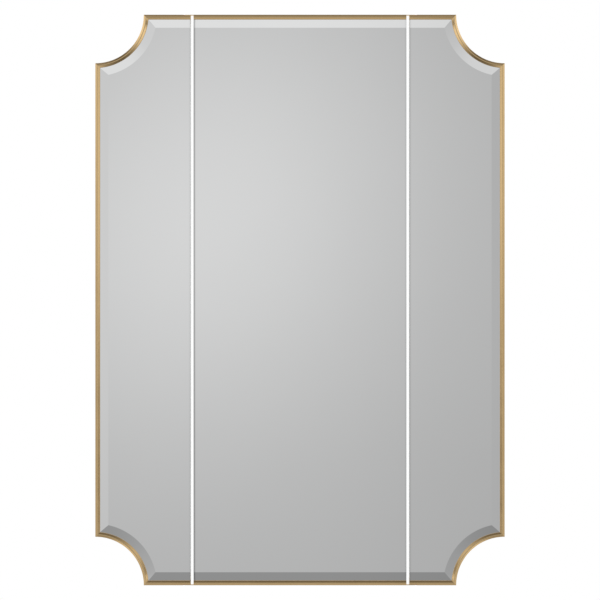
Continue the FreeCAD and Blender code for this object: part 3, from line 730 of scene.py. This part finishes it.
def metal_attributes(along, section):
    """The brushing's coordinates, and how worn each point is, for rows of a section.

    along is how far along the length each point lies. Across it is the way round the section.
    """
    across = np.concatenate([[0], np.cumsum(np.linalg.norm(np.diff(section, axis=0), axis=1))])
    along, across = np.broadcast_arrays(along, across)
    grain = np.stack([along, across, 0 * along], -1).reshape(-1, 3)
    return {"grain": grain, "worn": np.broadcast_to(wear(section[:, 1]), along.shape).ravel()}


def wear(depth):
    """How polished a point is by its depth p: most along the ridge, gone a short way behind it."""
    return np.clip(1.0 - depth / WEAR_DEPTH, 0.0, 1.0)


def capped(rows, count):
    """Faces of a section carried along rows, closed by the section itself at both ends."""
    ring = np.arange(count)
    return [grid(rows, count, ring=True), ring[None], (ring + (rows - 1) * count)[None]]


def drawn(node, points, along, section, material):
    """A length of frame from rows of its section. Its flats stay flat beside the rounded edges."""
    faces = capped(len(points), len(section))
    made = stand_in(node, "_drawn", points, faces, [material], "gold_frame",
                    stored=metal_attributes(along, section))
    modifier = made.modifiers.new("flats", "WEIGHTED_NORMAL")
    modifier.keep_sharp = True


def scallop(name, side, end_name, settings, material):
    """A hollow quarter round of frame.

    A point of the section at u lies on a circle of radius R + u about the panel's corner. Its angle
    runs from the mitre at the rail to the mitre at the stile, where that circle meets the straight
    line a = R + slope times b.
    """
    section = frame_section(settings)
    u, p = section.T
    radius = SCALLOP_RADIUS
    slope = mitre_slope(settings)
    flat = 1 + slope ** 2
    b = (-radius * slope + np.sqrt((radius * slope) ** 2 + flat * ((radius + u) ** 2 - radius ** 2))) / flat
    start = np.arctan2(b, radius + slope * b) + settings.joint / radius
    angle = start + np.linspace(0, 1, ARC_STEPS + 1)[:, None] * (math.pi / 2 - 2 * start)
    a, b = (radius + u) * np.cos(angle), (radius + u) * np.sin(angle)
    points = set_down(a, b, p, side, ENDS[end_name])
    drawn("%s_wing_%s_scallop" % (name, end_name), points, angle * radius, section, material)


def stile(name, side, settings, material):
    """The long outer upright: the section carried straight from one mitre to the other."""
    section = frame_section(settings)
    u, p = section.T
    inset = SCALLOP_RADIUS + mitre_slope(settings) * u + settings.joint
    points = np.stack([set_down(u, inset, p, side, end) for end in ENDS.values()])
    drawn(name + "_wing_stile", points, points[:, :, 2], section, material)


def rail_grain(points):
    """The brushing's coordinates on a straight rail: along x, and across by depth and height."""
    return np.stack([points[:, 0], points[:, 1] + np.abs(points[:, 2] - HEIGHT / 2), 0 * points[:, 0]], -1)


def rail_wear(points):
    """The wear on a straight rail."""
    return wear(points[:, 1] - FRONT)


# ---------------------------------------------------------------- glass
def rim_rows(stations, settings):
    """Rows across the bevel, from the field's edge out to the rim and back to the rear face.

    A station is a function from the distances u to (a, b), and the distance u of the rim there. The
    bevel falls back evenly: p grows by the drop times the share of the bevel's width passed.
    """
    inner = SHEET_INSET + settings.bevel_width
    rows = []
    for station, rim in stations:
        u = np.linspace(inner, rim, BEVEL_STEPS)
        p = GLASS_FRONT - FRONT + settings.bevel_drop * (inner - u) / settings.bevel_width
        u = np.append(u, rim)
        p = np.append(p, GLASS_BACK - FRONT)
        a, b = station(u)
        rows.append(np.stack(np.broadcast_arrays(a, b, p), -1))
    return np.array(rows)


def along_rail(a):
    """A station on a straight rail at the distance a from the panel's outer side."""
    return lambda u: (a, u)


def along_scallop(part):
    """A station on the scallop, from 0 at the rail to 1 at the side.

    The bevels of the scallop and the straight edges meet where their insets are equal, so the
    angle starts at the one whose tangent is u over the root of R squared plus 2 R u.
    """
    def station(u):
        start = np.arctan2(u, np.sqrt(SCALLOP_RADIUS ** 2 + 2 * SCALLOP_RADIUS * u))
        angle = start + part * (math.pi / 2 - 2 * start)
        return (SCALLOP_RADIUS + u) * np.cos(angle), (SCALLOP_RADIUS + u) * np.sin(angle)
    return station


def round_pane(stations, side, settings):
    """Rows across the bevel along the top, and the same rows along the bottom the other way."""
    a, b, p = np.moveaxis(rim_rows(stations, settings), -1, 0)
    return set_down(a, b, p, side, ENDS["top"]), set_down(a, b, p, side, ENDS["bottom"])[::-1]


def glass_shell(strips):
    """Points and faces of a pane, and each face's kind: silver, polished edge or paint.

    Strips of rows go round the pane, and a flat gap edge closes the way from each to the next.
    """
    rows = np.concatenate(strips)
    width = rows.shape[1]
    index = np.arange(len(rows) * width).reshape(-1, width)
    starts = np.cumsum([0] + [len(strip) for strip in strips[:-1]])
    band = np.concatenate([grid(len(strip), width) + start * width for strip, start in zip(strips, starts)])
    gap_sides = [np.concatenate([index[start - 1], index[start][::-1]]) for start in np.roll(starts, -1)]
    rim_wall = np.tile(np.arange(width - 1) == width - 2, len(band) // (width - 1))
    kinds = np.concatenate([rim_wall.astype(int), [0, 2], [1] * len(gap_sides)])
    return rows.reshape(-1, 3), [band, index[None, :, 0], index[None, :, -1], gap_sides], kinds


def wing_glass(name, side, settings, materials):
    """A wing's pane: bevelled along the top, both scallops, the outer side and the bottom."""
    edge = HALF_WIDTH - WING_EDGE
    notch = settings.notch_rise
    stations = [
        (along_rail(edge), notch),
        (along_rail(edge - settings.wing_notch), notch),
        (along_rail(edge - settings.wing_notch - settings.notch_taper), SHEET_INSET),
    ]
    stations += [(along_scallop(part), SHEET_INSET) for part in np.linspace(0, 1, ARC_STEPS + 1)]
    whole = np.concatenate(round_pane(stations, side, settings))
    pane(name + "_wing", *glass_shell([whole]), settings, materials)


def centre_glass(settings, materials):
    """The centre pane: bevelled along the top and the bottom only."""
    notch = settings.notch_rise
    inner = CENTRE_HALF - settings.centre_notch
    stations = [
        (along_rail(HALF_WIDTH + x), rim) for x, rim in (
            (CENTRE_HALF, notch), (inner, notch), (inner - settings.notch_taper, SHEET_INSET),
            (settings.notch_taper - inner, SHEET_INSET), (-inner, notch), (-CENTRE_HALF, notch))
    ]
    pane("centre", *glass_shell(round_pane(stations, 1.0, settings)), settings, materials)


def pane(panel, points, faces, kinds, settings, materials):
    """A pane with a flat arris ground along its gap edges, in place of the panel's node.

    A gap edge of the glass is the one face with two rows of corners. It isn't ground where it meets
    the rim, where both faces are of the second material and their numbers add up to two.
    """
    gap_corners = 2 * (BEVEL_STEPS + 1)

    def grind(shell):
        gap_sides = [face for face in shell.faces if len(face.verts) == gap_corners]
        edges = dict.fromkeys(edge for face in gap_sides for edge in face.edges
                              if sum(other.material_index for other in edge.link_faces) != 2)
        bmesh.ops.bevel(shell, geom=list(edges), offset=settings.arris, segments=1, profile=0.5,
                        affect="EDGES", clamp_overlap=False)
    stand_in(panel + "_mirror_glass", "_ground", points, faces, materials, "mirror",
             sharp=PANE_SHARP, kinds=kinds, grind=grind)


# ---------------------------------------------------------------- turned and pressed pieces
# rings over a cross recess: shares of the way to its edge, and how sunk each is
RECESS_RINGS = ((0.0, 1.0), (0.3, 1.0), (0.6, 1.0), (0.84, 1.0), (1.0, 0.06), (1.06, 0.0))
# rings from there to the rim, and points of a quarter turn over an arm and between two arms
RIM_RINGS = 11
ARM_POINTS = 4
BETWEEN_POINTS = 10
# how much of the recess's depth is gone at the reach of its arms
FLOOR_RISE = 0.5
# the shares of a head's radius that its recessed face and a pan head's seat take
FACE_SHARE = 0.985
SEAT_SHARE = 0.98
# the share of the height at that face's rim where a pan head's upright side starts
SIDE_SHARE = 0.45
# powers of the rounded outlines of a pan head and of a bumper
PAN_POWER = 2.8
CROWN_POWER = 3.2
# the shares of a bumper's height that is rounded and of its radius that is hollow
CROWN_SHARE = 0.25
HOLLOW_SHARE = 0.45
CROWN_RINGS = (0.1, 0.2, 0.3, 0.4)
LEAST_SINE = 0.000001
# small flats, in metres
SEAT_EASE = 0.0001
RIM_EASE = 0.00003
FOOT_EASE = 0.0002
PEEN_DROPS = (0.0, -0.00001, -0.00005, -0.0002)
PIN_EASE_SHARE = 0.2

BACKWARD = ((1, 0, 0), (0, 0, 1), (0, 1, 0))


def superellipse(radius, height, power, steps):
    """A quarter of a rounded outline from its top to its rim.

    The radius share and the height share, each to the power, add up to one.
    """
    swing = np.linspace(0, math.pi / 2, steps)
    share_out = np.sin(swing) ** (2 / power)
    share_up = np.cos(swing) ** (2 / power)
    return np.stack([radius * share_out, height * share_up], -1)


def screw(settings, head, rest, dome):
    """A screw with a cross recess, its head of a radius and a dome's height at each radius.

    At the angle a from the nearest arm, the recess ends at the smaller of its reach over cos a and
    half its width over sin a. Rings inside that edge lie on the sunken floor, which rises towards
    the arms' ends, and rings outside it spread evenly to the rim. The rest is a plain profile.
    """
    scale = head / settings.head_radius
    arm, half = settings.recess_arm * scale, settings.recess_width / 2
    corner = math.atan2(half, arm)
    over_arm = np.linspace(-corner, corner, ARM_POINTS, endpoint=False)
    between = np.linspace(corner, math.pi / 2 - corner, BETWEEN_POINTS, endpoint=False)
    quarter = np.concatenate([over_arm, between])
    angle = (quarter + np.arange(4)[:, None] * math.pi / 2).ravel()
    folded = np.tile(np.minimum(np.abs(quarter), math.pi / 2 - quarter), 4)
    edge = np.minimum(arm / np.cos(folded), half / np.maximum(np.sin(folded), LEAST_SINE))
    shares, sinks = np.array(RECESS_RINGS).T[:, :, None]
    inside = shares * edge
    outside = inside[-1] + np.linspace(0, 1, RIM_RINGS + 1)[1:, None] * (head - inside[-1])
    radius = np.concatenate([inside, outside])
    sunk = np.concatenate([sinks, np.zeros((RIM_RINGS, 1))]) * (1 - FLOOR_RISE * radius / arm)
    height = dome(radius) - settings.recess_depth * scale * sunk
    rest = np.array(rest)
    radius = np.concatenate([radius, rest[:, :1] + 0 * angle])
    height = np.concatenate([height, rest[:, 1:] + 0 * angle])
    return turned(radius, height, angle)


def shank_profile(radius, seat, tail):
    """A straight shank from its seat to a pointed tail."""
    return [(radius, seat), (radius, tail + radius), (radius / 2, tail), (0, tail)]


def pan_screw(settings, tail):
    """A pan-head screw whose seat is at height 0."""
    head = settings.head_radius
    outline = superellipse(head, settings.head_height, PAN_POWER, HEAD_STEPS)

    def dome(radius):
        return np.interp(radius, outline[:, 0], outline[:, 1])
    side = dome(head * FACE_SHARE) * SIDE_SHARE
    rest = [(head, side), (head, SEAT_EASE), (head * SEAT_SHARE, 0.0)]
    return screw(settings, head * FACE_SHARE, rest + shank_profile(settings.shank_radius, 0.0, tail), dome)


def countersunk_screw(settings, tail):
    """A countersunk screw whose flat top is at height 0."""
    head, shank, land = settings.plate_head, settings.plate_shank, settings.plate_land
    rest = [(head, -RIM_EASE), (head, -land)] + shank_profile(shank, shank - land - head, tail)
    return screw(settings, head * FACE_SHARE, rest, lambda radius: 0 * radius)


def rear_screws(name, places, tail, body, settings, material):
    """Pan-head screws driven in from behind at places on their seats."""
    points, faces = scattered(*pan_screw(settings, tail), places, BACKWARD)
    return piece(name, points, faces, [material], body, "steel")


def at_corners(node, radius, level):
    """Places at the corners of a node's box, a radius in from its sides, at a level of y.

    In a box that is one screw wide, the two columns of places are one.
    """
    low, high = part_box(node)
    columns = sorted({round(x, 5) for x in (low[0] + radius, high[0] - radius)})
    return [(x, level, z) for x in columns for z in (low[2] + radius, high[2] - radius)]


def screws_from_node(node, name, settings, material):
    """Pan-head screws in place of a node that holds one at each corner of its box."""
    seat = reach(node, 1) - settings.head_height
    tail = reach(node, 1, False) - seat
    places = at_corners(node, settings.head_radius, seat)
    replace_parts(rear_screws(name, places, tail, body_of(node), settings, material), node)


def outward(shape, places, end):
    """Copies of a shape whose own z points out of an end of the mirror, at (x, y) places there."""
    level = HEIGHT if end > 0 else 0.0
    return scattered(*shape, [(x, y, level) for x, y in places], ((1, 0, 0), (0, 1, 0), (0, 0, end)))


def plate_screws(settings, material):
    """The countersunk screws of the pivot plates, at both ends of the mirror."""
    node = "pivot_plate_screws"
    x = reach(node, 0) - settings.plate_head
    tail = reach("right_top_centre_block", 2, False) - HEIGHT + settings.plate_land * 2
    places = [(side * x, PIVOT_Y) for side in SIDES.values()]
    shape = countersunk_screw(settings, tail)
    top, bottom = (outward(shape, places, ENDS[end]) for end in ("top", "bottom"))
    points = np.concatenate([top[0], bottom[0]])
    faces = top[1] + [block + len(top[0]) for block in bottom[1]]
    stand_in(node, "_cut", points, faces, [material], "brass_plate",
             stored={"grain": points, "worn": np.zeros(len(points))})


def pivot_pin(node, end, material):
    """A pin with an eased tail and a peened, very slightly domed end flush with its plate."""
    ease = PIN_RADIUS * PIN_EASE_SHARE
    peened = list(zip((0, PIN_RADIUS / 2, PIN_RADIUS - ease, PIN_RADIUS), PEEN_DROPS))
    tail = [(PIN_RADIUS, ease - PIN_LENGTH), (PIN_RADIUS - ease, -PIN_LENGTH), (0, -PIN_LENGTH)]
    side = SIDES[node.split("_")[0]]
    points, faces = outward(turned_profile(peened + tail), [(side * PIVOT_X, PIVOT_Y)], end)
    stand_in(node, "_turned", points, faces, [material], "steel")


def bumpers(node, settings, material):
    """Round rubber bumpers with a taper, a rounded rim and a shallow hollow in the face.

    The hollow's depth falls off as a bell curve of the radius.
    """
    radius = settings.bumper_diameter / 2
    height = REAR - BOARD_BACK
    crown = superellipse(radius - settings.bumper_taper, height * CROWN_SHARE, CROWN_POWER, CROWN_STEPS)
    crown[:, 1] += height * (1 - CROWN_SHARE)
    dome = np.concatenate([crown, [(radius * part, height) for part in CROWN_RINGS]])
    dome = dome[np.argsort(dome[:, 0], kind="stable")]
    dome[:, 1] -= settings.dimple * np.exp(-(dome[:, 0] / (radius * HOLLOW_SHARE)) ** 2)
    dome[:, 1] += height - dome[:, 1].max()
    foot = [(radius, FOOT_EASE), (radius - FOOT_EASE, 0.0), (0, 0.0)]
    places = at_corners(node, radius, BOARD_BACK)
    points, faces = scattered(*turned_profile(np.concatenate([dome, foot])), places, BACKWARD)
    stand_in(node, "_moulded", points, faces, [material], "rubber")


# ---------------------------------------------------------------- operators
class MIRROR_OT_glass(bpy.types.Operator):
    """Grind the three panes, silver them and polish their edges"""
    bl_idname = "mirror.glass"
    bl_label = "Mirror glass"

    def execute(self, context):
        settings = context.scene.mirror_glass
        names = ("silvered_glass", "polished_glass_edge", "mirror_back_paint")
        materials = [finish(name) for name in names]
        centre_glass(settings, materials)
        for name, side in SIDES.items():
            wing_glass(name, side, settings, materials)
        return {"FINISHED"}


class MIRROR_OT_frame(bpy.types.Operator):
    """Draw the twelve lengths of the gold frame"""
    bl_idname = "mirror.frame"
    bl_label = "Gold frame"

    def execute(self, context):
        settings = context.scene.mirror_frame
        hardware = context.scene.mirror_hardware
        gold = finish("satin_gold_plating")

        def rail(panel, end):
            node = "%s_%s_rail" % (panel, end)
            stored = {"grain": rail_grain, "worn": rail_wear}
            softened(node, node + "_eased", gold, hardware, stored)
        for end in ENDS:
            rail("centre", end)
            for name, side in SIDES.items():
                rail(name + "_wing", end)
                scallop(name, side, end, settings, gold)
        for name, side in SIDES.items():
            stile(name, side, settings, gold)
        return {"FINISHED"}


class MIRROR_OT_backs(bpy.types.Operator):
    """Finish the backing boards and the foam tape"""
    bl_idname = "mirror.backs"
    bl_label = "Boards and tape"

    def execute(self, context):
        board = finish("papered_fibreboard")
        foam = finish("foam_mounting_tape")
        for panel in PANELS:
            coat(panel + "_backing_board", board)
            coat(panel + "_foam_tape", foam)
        return {"FINISHED"}


class MIRROR_OT_bumpers(bpy.types.Operator):
    """Mould the rubber bumpers on the backs of the panels"""
    bl_idname = "mirror.bumpers"
    bl_label = "Rubber bumpers"

    def execute(self, context):
        rubber = finish("matt_rubber")
        for panel in PANELS:
            bumpers(panel + "_bumpers", context.scene.mirror_back, rubber)
        return {"FINISHED"}


class MIRROR_OT_pivots(bpy.types.Operator):
    """Finish the pivot plates, pins, bushes and end blocks"""
    bl_idname = "mirror.pivots"
    bl_label = "Pivots"

    def execute(self, context):
        hardware = context.scene.mirror_hardware
        names = ("satin_gold_plating", "zinc_plating", "anodised_block", "acetal_bush")
        gold, zinc, block, acetal = [finish(name) for name in names]
        stored = {"grain": rail_grain, "worn": lambda points: 0 * points[:, 0]}
        for name in SIDES:
            for end_name, end in ENDS.items():
                corner = "%s_%s_" % (name, end_name)
                plate = corner + "pivot_plate"
                softened(plate, corner + "plate_eased", gold, hardware, stored)
                for part in ("centre_block", "wing_block"):
                    softened(corner + part, corner + part + "_milled", block, hardware)
                pivot_pin(corner + "pivot_pin", end, zinc)
                coat(corner + "pivot_bush", acetal)
        return {"FINISHED"}


class MIRROR_OT_screws(bpy.types.Operator):
    """Drive the screws: end blocks, hangers, pivot plates and the rest of the frame"""
    bl_idname = "mirror.screws"
    bl_label = "Screws"

    def execute(self, context):
        hardware = context.scene.mirror_hardware
        zinc = finish("zinc_plating")
        screws_from_node("centre_screws", "centre_block_screws", hardware, zinc)
        screws_from_node("hanger_screws", "hanger_pan_screws", hardware, zinc)
        plate_screws(hardware, finish("satin_gold_plating"))
        inset = hardware.screw_inset
        upright = SCALLOP_RADIUS + hardware.stile_screw_margin
        diagonal = (SCALLOP_RADIUS + inset) * math.sqrt(0.5)

        def drive(name, places, body):
            seats = [(x, FRAME_BACK, z) for x, z in places]
            rear_screws(name, seats, -hardware.short_shank, body, hardware, zinc)
        drive("centre_rail_screws", [(0, inset), (0, HEIGHT - inset)], "centre_panel")
        for name, side in SIDES.items():
            wing = name + "_wing"
            screws_from_node(wing + "_screws", wing + "_block_screws", hardware, zinc)
            places = [(side * (HALF_WIDTH - inset), z) for z in (upright, HEIGHT / 2, HEIGHT - upright)]
            places += [(side * (HALF_WIDTH - diagonal), z) for z in (diagonal, HEIGHT - diagonal)]
            drive(wing + "_frame_screws", places, wing)
        return {"FINISHED"}


class MIRROR_OT_hangers(bpy.types.Operator):
    """Ease and plate the two keyhole hangers"""
    bl_idname = "mirror.hangers"
    bl_label = "Keyhole hangers"

    def execute(self, context):
        hardware = context.scene.mirror_hardware
        zinc = finish("zinc_plating")
        for name in SIDES:
            node = name + "_keyhole_hanger"
            softened(node, node + "_pressed", zinc, hardware)
        return {"FINISHED"}


class MIRROR_OT_stage(bpy.types.Operator):
    """Set the floor, the studio light and the camera"""
    bl_idname = "mirror.stage"
    bl_label = "Studio"

    def execute(self, context):
        settings = context.scene.mirror_stage
        lay_floor(settings)
        light_world(context.scene, settings)
        hang_lamps()
        set_camera(context.scene, settings)
        context.scene.view_settings.view_transform = "Standard"
        return {"FINISHED"}


# ---------------------------------------------------------------- studio
# the innermost ring's share of the floor's radius
FLOOR_MIDDLE = 0.05


def lay_floor(settings):
    """A round floor: rings of points at even angles, closed by one point in the middle."""
    rings = np.linspace(FLOOR_MIDDLE, 1.0, FLOOR_RINGS)[:, None] * settings.floor_radius
    angle = np.linspace(0, 2 * math.pi, FLOOR_STEPS, endpoint=False)
    ring = np.stack(np.broadcast_arrays(
        rings * np.cos(angle), rings * np.sin(angle), -settings.floor_drop), -1)
    points = np.concatenate([ring.reshape(-1, 3), [[0, 0, -settings.floor_drop]]])
    here = np.arange(FLOOR_STEPS)
    middle = np.stack([here, (here + 1) % FLOOR_STEPS, here * 0 + len(points) - 1], -1)
    bands = grid(FLOOR_RINGS, FLOOR_STEPS, ring=True)[:, ::-1]
    mesh = bpy.data.meshes.new("floor")
    mesh.from_pydata(points, [], bands.tolist() + middle.tolist())
    mesh.materials.append(finish("pale_floor"))
    floor = bpy.data.objects.new("floor", mesh)
    bpy.context.scene.collection.objects.link(floor)
    floor.visible_glossy = False


# The studio that glass and metal reflect. Directions are unit vectors: across is to the right,
# forward from the mirror into the room and up. The room in front, the walls round it and what lies
# beside the mirror pass into each other where forward lies between these.
ROOM_FROM = (0.50, 0.62)
BESIDE_BELOW = (0.29, 0.37)
# behind the mirror it is white
BEHIND_FROM = (0.0, 0.25)
WHITE_LEVEL = 0.9

# Levels of light from straight down, -1, to straight up, 1: the room's and the side's by up, and
# the walls' by the turn about the viewing axis.
ROOM_BY_HEIGHT = (
    (-1.0, 0.27), (-0.33, 0.27), (-0.27, 0.315), (-0.21, 0.36), (-0.14, 0.37), (-0.10, 0.43),
    (0.10, 0.43), (0.14, 0.53), (0.21, 0.60), (0.27, 0.71), (0.33, 0.73), (0.42, 0.50),
    (0.60, 0.40), (1.0, 0.40))
WALL_BY_TURN = (
    (-1.0, 0.28), (-0.89, 0.24), (-0.85, 0.16), (-0.78, 0.11), (-0.69, 0.17), (-0.58, 0.38),
    (-0.45, 0.74), (-0.30, 0.92), (-0.16, 0.92), (-0.10, 0.42), (-0.075, 0.12), (-0.035, 0.28),
    (0.0, 0.60), (0.035, 0.85), (0.075, 0.80), (0.12, 0.36), (0.18, 0.24), (0.31, 0.32),
    (0.45, 0.52), (0.58, 0.64), (0.69, 0.50), (0.78, 0.33), (0.86, 0.18), (1.0, 0.13))
SIDE_BY_HEIGHT = (
    (-1.0, 0.26), (-0.955, 0.32), (-0.91, 0.40), (-0.85, 0.64), (-0.77, 0.74), (-0.67, 0.72),
    (-0.56, 0.62), (-0.44, 0.51), (-0.31, 0.48), (-0.175, 0.58), (-0.10, 0.54), (-0.065, 0.50),
    (-0.035, 0.40), (0.0, 0.48), (0.035, 0.52), (0.065, 0.66), (0.10, 0.80), (0.175, 0.92),
    (0.31, 1.0), (0.44, 0.98), (0.56, 0.74), (0.67, 0.38), (0.77, 0.18), (0.85, 0.13),
    (0.91, 0.22), (0.955, 0.28), (1.0, 0.27))
# the turn at which a wall's direction points straight up
TURN_REACH = 0.91


def level_at(shader, levels, place):
    """The level that a table gives at a place from -1 to 1."""
    stops = [(stop / 2 + 0.5, level) for stop, level in levels]
    ramp = shader.node("ShaderNodeValToRGB", {"stops": stops}, {"Fac": place * 0.5 + 0.5})
    return shader.node("ShaderNodeRGBToBW", {}, {"Color": ramp})


def room_level(shader, across, up):
    """The room in front: lighter on the left at eye level, a little darker on the right.

    A soft glow lies in its middle and leans to the right as it rises.
    """
    eye_level = shader.hump(up, middle=0.02, width=0.13)
    glow = 0.228 * shader.hump(up, middle=0.031, width=0.087)
    glow = glow * shader.hump(across - 0.126 * up, middle=-0.038, width=0.08)
    left = 0.17 * eye_level * (1.0 - shader.step(across, low=-0.30, high=-0.12))
    shade = 0.12 * shader.step(across, low=0.0, high=0.08) * (1.0 - eye_level)
    return level_at(shader, ROOM_BY_HEIGHT, up) * (1.0 - shade) + glow + left


def wall_level(shader, across, up, beside):
    """The walls, ceiling and floor round the room, and what lies beside the mirror.

    The floor below the mirror is lighter. At eye level the far left is dim and the far right bright.
    """
    turn = up / shader.math("SQRT", across * across + up * up) * TURN_REACH
    walls = level_at(shader, WALL_BY_TURN, turn) * (1.0 - beside)
    side = level_at(shader, SIDE_BY_HEIGHT, up) * beside
    below = shader.hump(across, middle=0.0, width=0.11) * (1.0 - shader.step(up, low=-0.90, high=-0.82))
    eye_level = shader.hump(up, middle=0.0, width=0.1)
    dim = 0.9 * eye_level * shader.step(0.0 - across, low=0.98, high=0.995)
    bright = 0.35 * eye_level * shader.step(across, low=0.98, high=0.995)
    return (walls + side + below * (0.36 - 0.17 * beside)) * (1.0 - dim) + bright


def light_world(scene, settings):
    """White where the camera sees it, an even light on the pieces, and a studio in the reflections."""
    world = bpy.data.worlds.new("studio")
    scene.world = world
    world.use_nodes = True
    shader = Shader(world.node_tree)
    way = shader.node("ShaderNodeTexCoord", {}, {}, "Generated")
    across, back, up = (shader.axis(way, index) for index in range(3))
    forward = 0.0 - back
    ahead = shader.step(forward, *ROOM_FROM)
    beside = 1.0 - shader.step(forward, *BESIDE_BELOW)
    behind = shader.step(back, *BEHIND_FROM)
    level = room_level(shader, across, up) * ahead + wall_level(shader, across, up, beside) * (1.0 - ahead)
    level = level * (1.0 - behind) + WHITE_LEVEL * behind

    def sky(strength):
        return shader.node("ShaderNodeBackground", {}, {"Color": WHITE, "Strength": strength})
    light = shader.blend(shader.ray("Is Glossy Ray"), sky(settings.ambient), sky(level / WHITE_LEVEL))
    light = shader.blend(shader.ray("Is Camera Ray"), light, sky(1.0))
    shader.node("ShaderNodeOutputWorld", {}, {"Surface": light})


# name, place in metres and power in watts
LAMPS = (("key", (-2.2, -2.6, 2.6), 26.0), ("fill", (2.4, -2.4, 1.2), 12.0), ("rear", (0.8, 2.8, 2.4), 22.0))
LAMP_WIDTH = 2.0


def hang_lamps():
    """Two soft lamps in front and one behind, aimed at the mirror's middle and not reflected in it."""
    for name, place, power in LAMPS:
        lamp = bpy.data.lights.new(name, "AREA")
        lamp.energy = power
        lamp.size = LAMP_WIDTH
        thing = bpy.data.objects.new(name, lamp)
        thing.location = place
        x, y, z = np.array([0, 0, HEIGHT / 2]) - place
        thing.rotation_euler = (math.atan2(math.hypot(x, y), -z), 0, math.atan2(-x, y))
        thing.visible_glossy = False
        thing.visible_camera = False
        bpy.context.scene.collection.objects.link(thing)


SENSOR_WIDTH = 36.0
CLIP_END = 100.0


def set_camera(scene, settings):
    """A level camera square to the mirror, at the height of its middle."""
    camera = bpy.data.cameras.new("camera")
    camera.sensor_width = SENSOR_WIDTH
    camera.lens = SENSOR_WIDTH * (settings.camera_distance + FRONT) / settings.view_width
    camera.clip_end = CLIP_END
    thing = bpy.data.objects.new("camera", camera)
    thing.location = (0.0, -settings.camera_distance, HEIGHT / 2)
    thing.rotation_euler = (math.pi / 2, 0.0, 0.0)
    scene.collection.objects.link(thing)
    scene.camera = thing


# ---------------------------------------------------------------- add-on
STEPS = (MIRROR_OT_glass, MIRROR_OT_frame, MIRROR_OT_backs, MIRROR_OT_bumpers, MIRROR_OT_pivots,
         MIRROR_OT_screws, MIRROR_OT_hangers, MIRROR_OT_stage)


class MIRROR_PT_panel(bpy.types.Panel):
    """The mirror's pieces and their settings"""
    bl_idname = "MIRROR_PT_panel"
    bl_label = "Trifold mirror"
    bl_space_type = "VIEW_3D"
    bl_region_type = "UI"
    bl_category = "Mirror"

    def draw(self, context):
        for step in STEPS:
            self.layout.operator(step.bl_idname)
        for name, group in SETTINGS.items():
            box = self.layout.box()
            for key in group.__annotations__:
                box.prop(getattr(context.scene, name), key)


CLASSES = (*SETTINGS.values(), *STEPS, MIRROR_PT_panel)


def register():
    """Add the classes and the scene's settings."""
    for item in CLASSES:
        bpy.utils.register_class(item)
    for name, group in SETTINGS.items():
        setattr(bpy.types.Scene, name, bpy.props.PointerProperty(type=group))


def unregister():
    """Take the settings and the classes away again."""
    for name in SETTINGS:
        delattr(bpy.types.Scene, name)
    for item in reversed(CLASSES):
        bpy.utils.unregister_class(item)


def main():
    """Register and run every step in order."""
    register()
    for step in STEPS:
        group, name = step.bl_idname.split(".")
        getattr(getattr(bpy.ops, group), name)()


if __name__ == "__main__":
    main()
